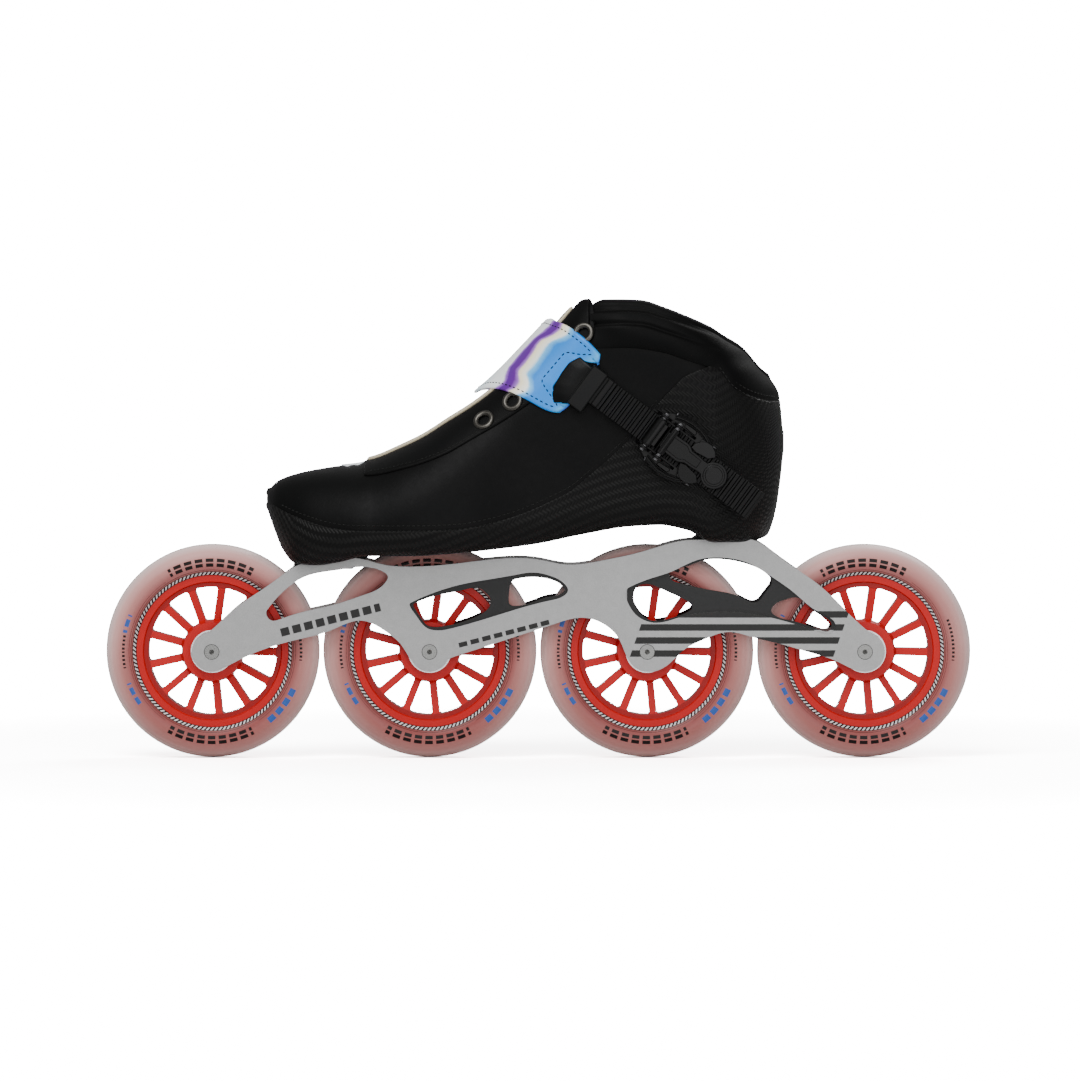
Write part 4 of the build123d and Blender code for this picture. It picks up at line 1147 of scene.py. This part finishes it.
def buckle_lever(m, material):
    """Lever: barrel on its pin, waisted arm with shoulders, and a round thumb pad."""
    bm = bmesh.new()
    disc = [(29 - 6.9 * math.cos(a), 6.9 * math.sin(a)) for a in np.linspace(0.50, math.pi - 0.02, 26)]
    half = [(-2.5, 4.2), (-1.4, 5.1), (2.6, 5.3), (8.8, 5.5), (10.6, 5.1), (12.8, 3.7), (17.6, 3.6),
            (20.6, 3.2), (22.3, 3.3)]
    prism(bm, mirrored(half + disc), 6.5, 8.7, m, lever_fall)
    rib = [(1.4, 3.9), (9.4, 4.2), (12.0, 2.6), (19.6, 2.4)]
    prism(bm, mirrored(rib), 8.0, 9.3, m, lambda s, _: -0.055 * max(s - 2.0, 0))
    for low, high, reach in ((7.2, 8.5, 5.7), (7.2, 8.9, 4.6)):
        prism(bm, circle(reach, 48, 29), low, high, m)
    prism(bm, circle(2.5, 32, 0.0, 7.0), 0.0, 15.0, along_t(m, 7.5))
    buckle_piece("buckle_lever_moulding", bm, material, "lever", 0.45, replaces=("buckle_lever",))


def release_pawl(m, material):
    """Pawl on the front pin: a curved shield over a barrel, with a tooth towards the ribs."""
    bm = bmesh.new()
    prism(bm, circle(2.3, 28, -8.6, 7.0), 0.0, 16.4, along_t(m, 8.2))
    shield = [(-11.9, 5.6), (-11.4, 8.0), (-9.6, 9.8), (-7.0, 10.0), (-6.6, 9.0), (-8.6, 8.2), (-10.2, 6.6),
              (-11.0, 5.4)]
    prism(bm, spline_loop(shield, 4), 0.0, 15.0, along_t(m, 7.5))
    tooth = [(-9.0, 6.6), (-4.4, 6.9), (-3.4, 5.6), (-3.6, 4.8), (-5.2, 4.8), (-8.6, 5.6)]
    prism(bm, tooth, 0.0, 12.8, along_t(m, 6.4))
    buckle_piece("release_pawl_moulding", bm, material, "pawl", 0.3, replaces=("release_pawl",))


def ladder_strap(m, material):
    """Ladder: a flat band with slanted ribs, smooth at its front end and cut square at its tail."""
    bm = bmesh.new()
    line = [(55.6, 1.7), (-47.0, 1.7), (-47.0, 3.6), (-38.2, 3.6)]
    s = -38.0
    while s < 52.6:
        line += [(s, 2.7), (s + 0.35, 4.1), (s + 2.1, 4.4), (s + 2.5, 2.7)]
        s += 3.6
    line += [(52.8, 3.5), (55.6, 3.3)]
    prism(bm, line, 0.0, 16.0, along_t(m, 8.0))
    buckle_piece("ladder_ribs", bm, material, "strap", 0.18, replaces=("ladder_strap",))


def strap_keeper(m, material):
    """Keeper: a folded rubber band round the ladder's front end."""
    bm = bmesh.new()
    outline = [(-53.6, -14.6), (-44.4, -14.6), (-44.4, 9.2), (-53.6, 9.2)]
    prism(bm, outline, 0.4, 6.2, m)
    prism(bm, [(-43.2, -8.2), (-39.6, -8.2), (-39.6, 8.4), (-43.2, 8.4)], 2.2, 5.0, m)
    buckle_piece("strap_keeper_band", bm, material, "strap", 0.8, replaces=("strap_keeper",))


def strap_loop(material):
    """Black webbing loop between the strap's notch and its keeper."""
    rows = []
    m = buckle_matrix()
    start = np.array([(8.0, 183.0), (7.4, 187.5), (9.0, 192.5), (12.5, 198.0), (16.5, 203.2),
                      (22.0, 206.2)]).T
    for c in np.linspace(0, 1, 24):
        x, z = (np.interp(c * 5, range(6), row) for row in start)
        a = np.array(form_frame(x, z, -1, 3.0).translation)
        b = np.array(m @ Vector((-49.0, -11.0 + 18.0 * c, 4.2)))
        u = np.linspace(0, 1, 16)[:, None]
        bulge = np.array([0, -1, 0]) * 1.2 * np.sin(math.pi * u)
        rows.append(a + (b - a) * u + bulge)
    obj = from_grid("strap_loop", np.array(rows))
    thicken(obj, 1.6, 0.0)
    modifier(obj, "SUBSURF", levels=1, render_levels=1)
    return finish_piece(obj, material, body="strap")


# Wheels
TYRE_PROFILE = [(8.4, 38.95), (9.3, 39.6), (10.6, 41.2), (11.5, 43.2), (11.95, 45.6), (11.6, 48.0),
                (10.4, 50.4), (8.2, 52.7), (5.2, 54.3), (2.4, 54.9), (0.0, 55.0)]


def wheel_matrix(i):
    """Placement of a wheel's own axes, with local Z along the axle."""
    m = Matrix.Rotation(math.radians(90), 4, "X")
    m.translation = Vector((AXLE_XS[i], 0, WHEEL_R))
    return m


def tyre(i, material):
    """Urethane tyre with a rounded racing profile."""
    heights = [-p[0] for p in TYRE_PROFILE] + [p[0] for p in TYRE_PROFILE[::-1][1:]]
    radii = [p[1] for p in TYRE_PROFILE] + [p[1] for p in TYRE_PROFILE[::-1][1:]]
    line = resample(np.stack([np.array(radii), np.zeros(len(radii)), np.array(heights)], axis=1), 60)
    m = np.array(wheel_matrix(i))
    a = np.linspace(0, 2 * math.pi, 193)[:, None]
    local = np.stack([line[:, 0] * np.cos(a), line[:, 0] * np.sin(a), line[:, 2] * np.ones_like(a)], axis=2)
    grid = local @ m[:3, :3].T + m[:3, 3]
    wheel = f"wheel_{i + 1}"
    obj = from_grid(f"{wheel}_urethane", grid)
    return finish_piece(obj, material, body=wheel, replaces=(f"{wheel}_tyre",))


def paint(node, material, bevel=0.0):
    """Gives a CAD node its material, and softens its edges."""
    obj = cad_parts[node]
    obj.data.materials.clear()
    obj.data.materials.append(material)
    if bevel:
        round_edges(obj, bevel, 2, 35)


def studio():
    """Pale floor, soft lights and the camera, square on to the outer side and slightly above."""
    mesh = bpy.data.meshes.new("studio_floor")
    mesh.from_pydata([(-6, -6, 0), (6, -6, 0), (6, 6, 0), (-6, 6, 0)], [], [(0, 1, 2, 3)])
    floor = linked("studio_floor", mesh)
    floor.location.z = -0.0002
    floor.data.materials.append(floor_material())
    world = bpy.data.worlds.new("studio")
    bpy.context.scene.world = world
    world.use_nodes = True
    tree = world.node_tree
    seen = tree.nodes.new("ShaderNodeLightPath").outputs["Is Camera Ray"]
    strength = tree.nodes.new("ShaderNodeMapRange")
    tree.links.new(seen, strength.inputs[0])
    lighting, backdrop = 0.42, 20.0
    strength.inputs[3].default_value = lighting
    strength.inputs[4].default_value = backdrop
    tree.nodes["Background"].inputs["Color"].default_value = (1.0, 1.0, 1.0, 1)
    tree.links.new(strength.outputs[0], tree.nodes["Background"].inputs["Strength"])
    lamps = [("key", (-0.55, -1.1, 1.6), 1.1, 24.0), ("front", (0.25, -1.9, 0.50), 1.4, 13.0),
             ("rim", (0.7, 1.2, 1.5), 1.0, 16.0)]
    for name, place, size, power in lamps:
        data = bpy.data.lights.new(name, "AREA")
        data.shape = "SQUARE"
        data.size = size
        data.energy = power
        lamp = linked(name, data)
        lamp.location = place
        lamp.rotation_mode = "QUATERNION"
        lamp.rotation_quaternion = (Vector((0, 0, 0.12)) - Vector(place)).to_track_quat("-Z", "Y")
    data = bpy.data.cameras.new("camera")
    camera = linked("camera", data)
    distance, view_width, tilt = 4.0, 0.557, math.radians(2.0)
    data.sensor_width = 36.0
    data.lens = 36.0 * distance / view_width
    target = Vector((0.00085, 0, 0.1116))
    back = Vector((0, -math.cos(tilt), math.sin(tilt)))
    camera.location = target + back * distance
    camera.rotation_mode = "QUATERNION"
    camera.rotation_quaternion = (-back).to_track_quat("-Z", "Y")
    bpy.context.scene.camera = camera


def build():
    """Makes every piece."""
    studio()
    carbon = carbon_material()
    leather = leather_material("black_leather", (0.0012, 0.0012, 0.0013), 0.42)
    stay_leather = leather_material("eyestay_leather", (0.0011, 0.0011, 0.0012), 0.46)
    lining = leather_material("collar_lining", (0.0012, 0.0012, 0.0013), 0.52, 0.3)
    tongue_cloth = fabric_material("tongue_cloth", (0.006, 0.006, 0.0062), 0.0014)
    pale = fabric_material("pale_binding", (0.50, 0.44, 0.31), 0.0009)
    thread = fabric_material("black_thread", (0.0022, 0.0022, 0.0022), 0.0004, 0.6)
    holo = holo_material("holographic_foil", 0.036)
    buckle = plastic_material("buckle_plastic", (0.0016, 0.0016, 0.0018), 0.28, 0.05)
    rubber = plastic_material("ladder_plastic", (0.0018, 0.0018, 0.0020), 0.34)
    steel = metal_material("bearing_steel", (0.70, 0.70, 0.71), 0.22)
    dark_steel = metal_material("dark_pin_steel", (0.11, 0.11, 0.115), 0.30)
    axle = metal_material("axle_steel", (0.23, 0.23, 0.225), 0.26)
    eyelet_metal = metal_material("eyelet_nickel", (0.085, 0.080, 0.072), 0.30)
    black_alloy = metal_material("black_alloy", (0.012, 0.012, 0.013), 0.45)
    rail = rail_material()
    urethane = tyre_material()
    hub = hub_material()

    carbon_shell(carbon)
    upper(leather)
    collar(lining)
    tongue(tongue_cloth)
    footbed(lining)
    for side in SIDES:
        eyestay(side, stay_leather)
        eyelets(side, eyelet_metal)
        punched_holes(side, lining)
    stitching(thread)
    tongue_piping(pale)
    toe_patch(holo_material("toe_foil", 0.0))
    instep_strap(holo, thread)
    strap_patch(stay_leather, thread)
    strap_loop(rubber)
    for i in range(4):
        name = f"wheel_{i + 1}"
        tyre(i, urethane)
        paint(f"{name}_hub", hub, 0.5)
        for part in ("bearing_outer_rings", "bearing_shields", "ball_cages", "bearing_inner_rings", "spacer"):
            paint(f"{name}_{part}", steel)
        paint(f"{name}_axle_bolt", axle, 0.2)
    for node in ("rail_outer", "rail_inner"):
        paint(node, rail, 0.35)
    for node in ("bridge_front", "bridge_rear", "crossbar_middle", "sole_insert_front", "sole_insert_rear"):
        paint(node, black_alloy, 0.3)
    paint("mount_bolts", axle)
    m = buckle_matrix()
    buckle_base(m, buckle, dark_steel)
    buckle_lever(m, buckle)
    release_pawl(m, buckle)
    strap_keeper(m, rubber)
    ladder_strap(m, rubber)
    paint("buckle_saddle", rubber, 0.35)
    for node in ("buckle_rivets", "lever_pin", "pawl_pin"):
        paint(node, dark_steel)


build()
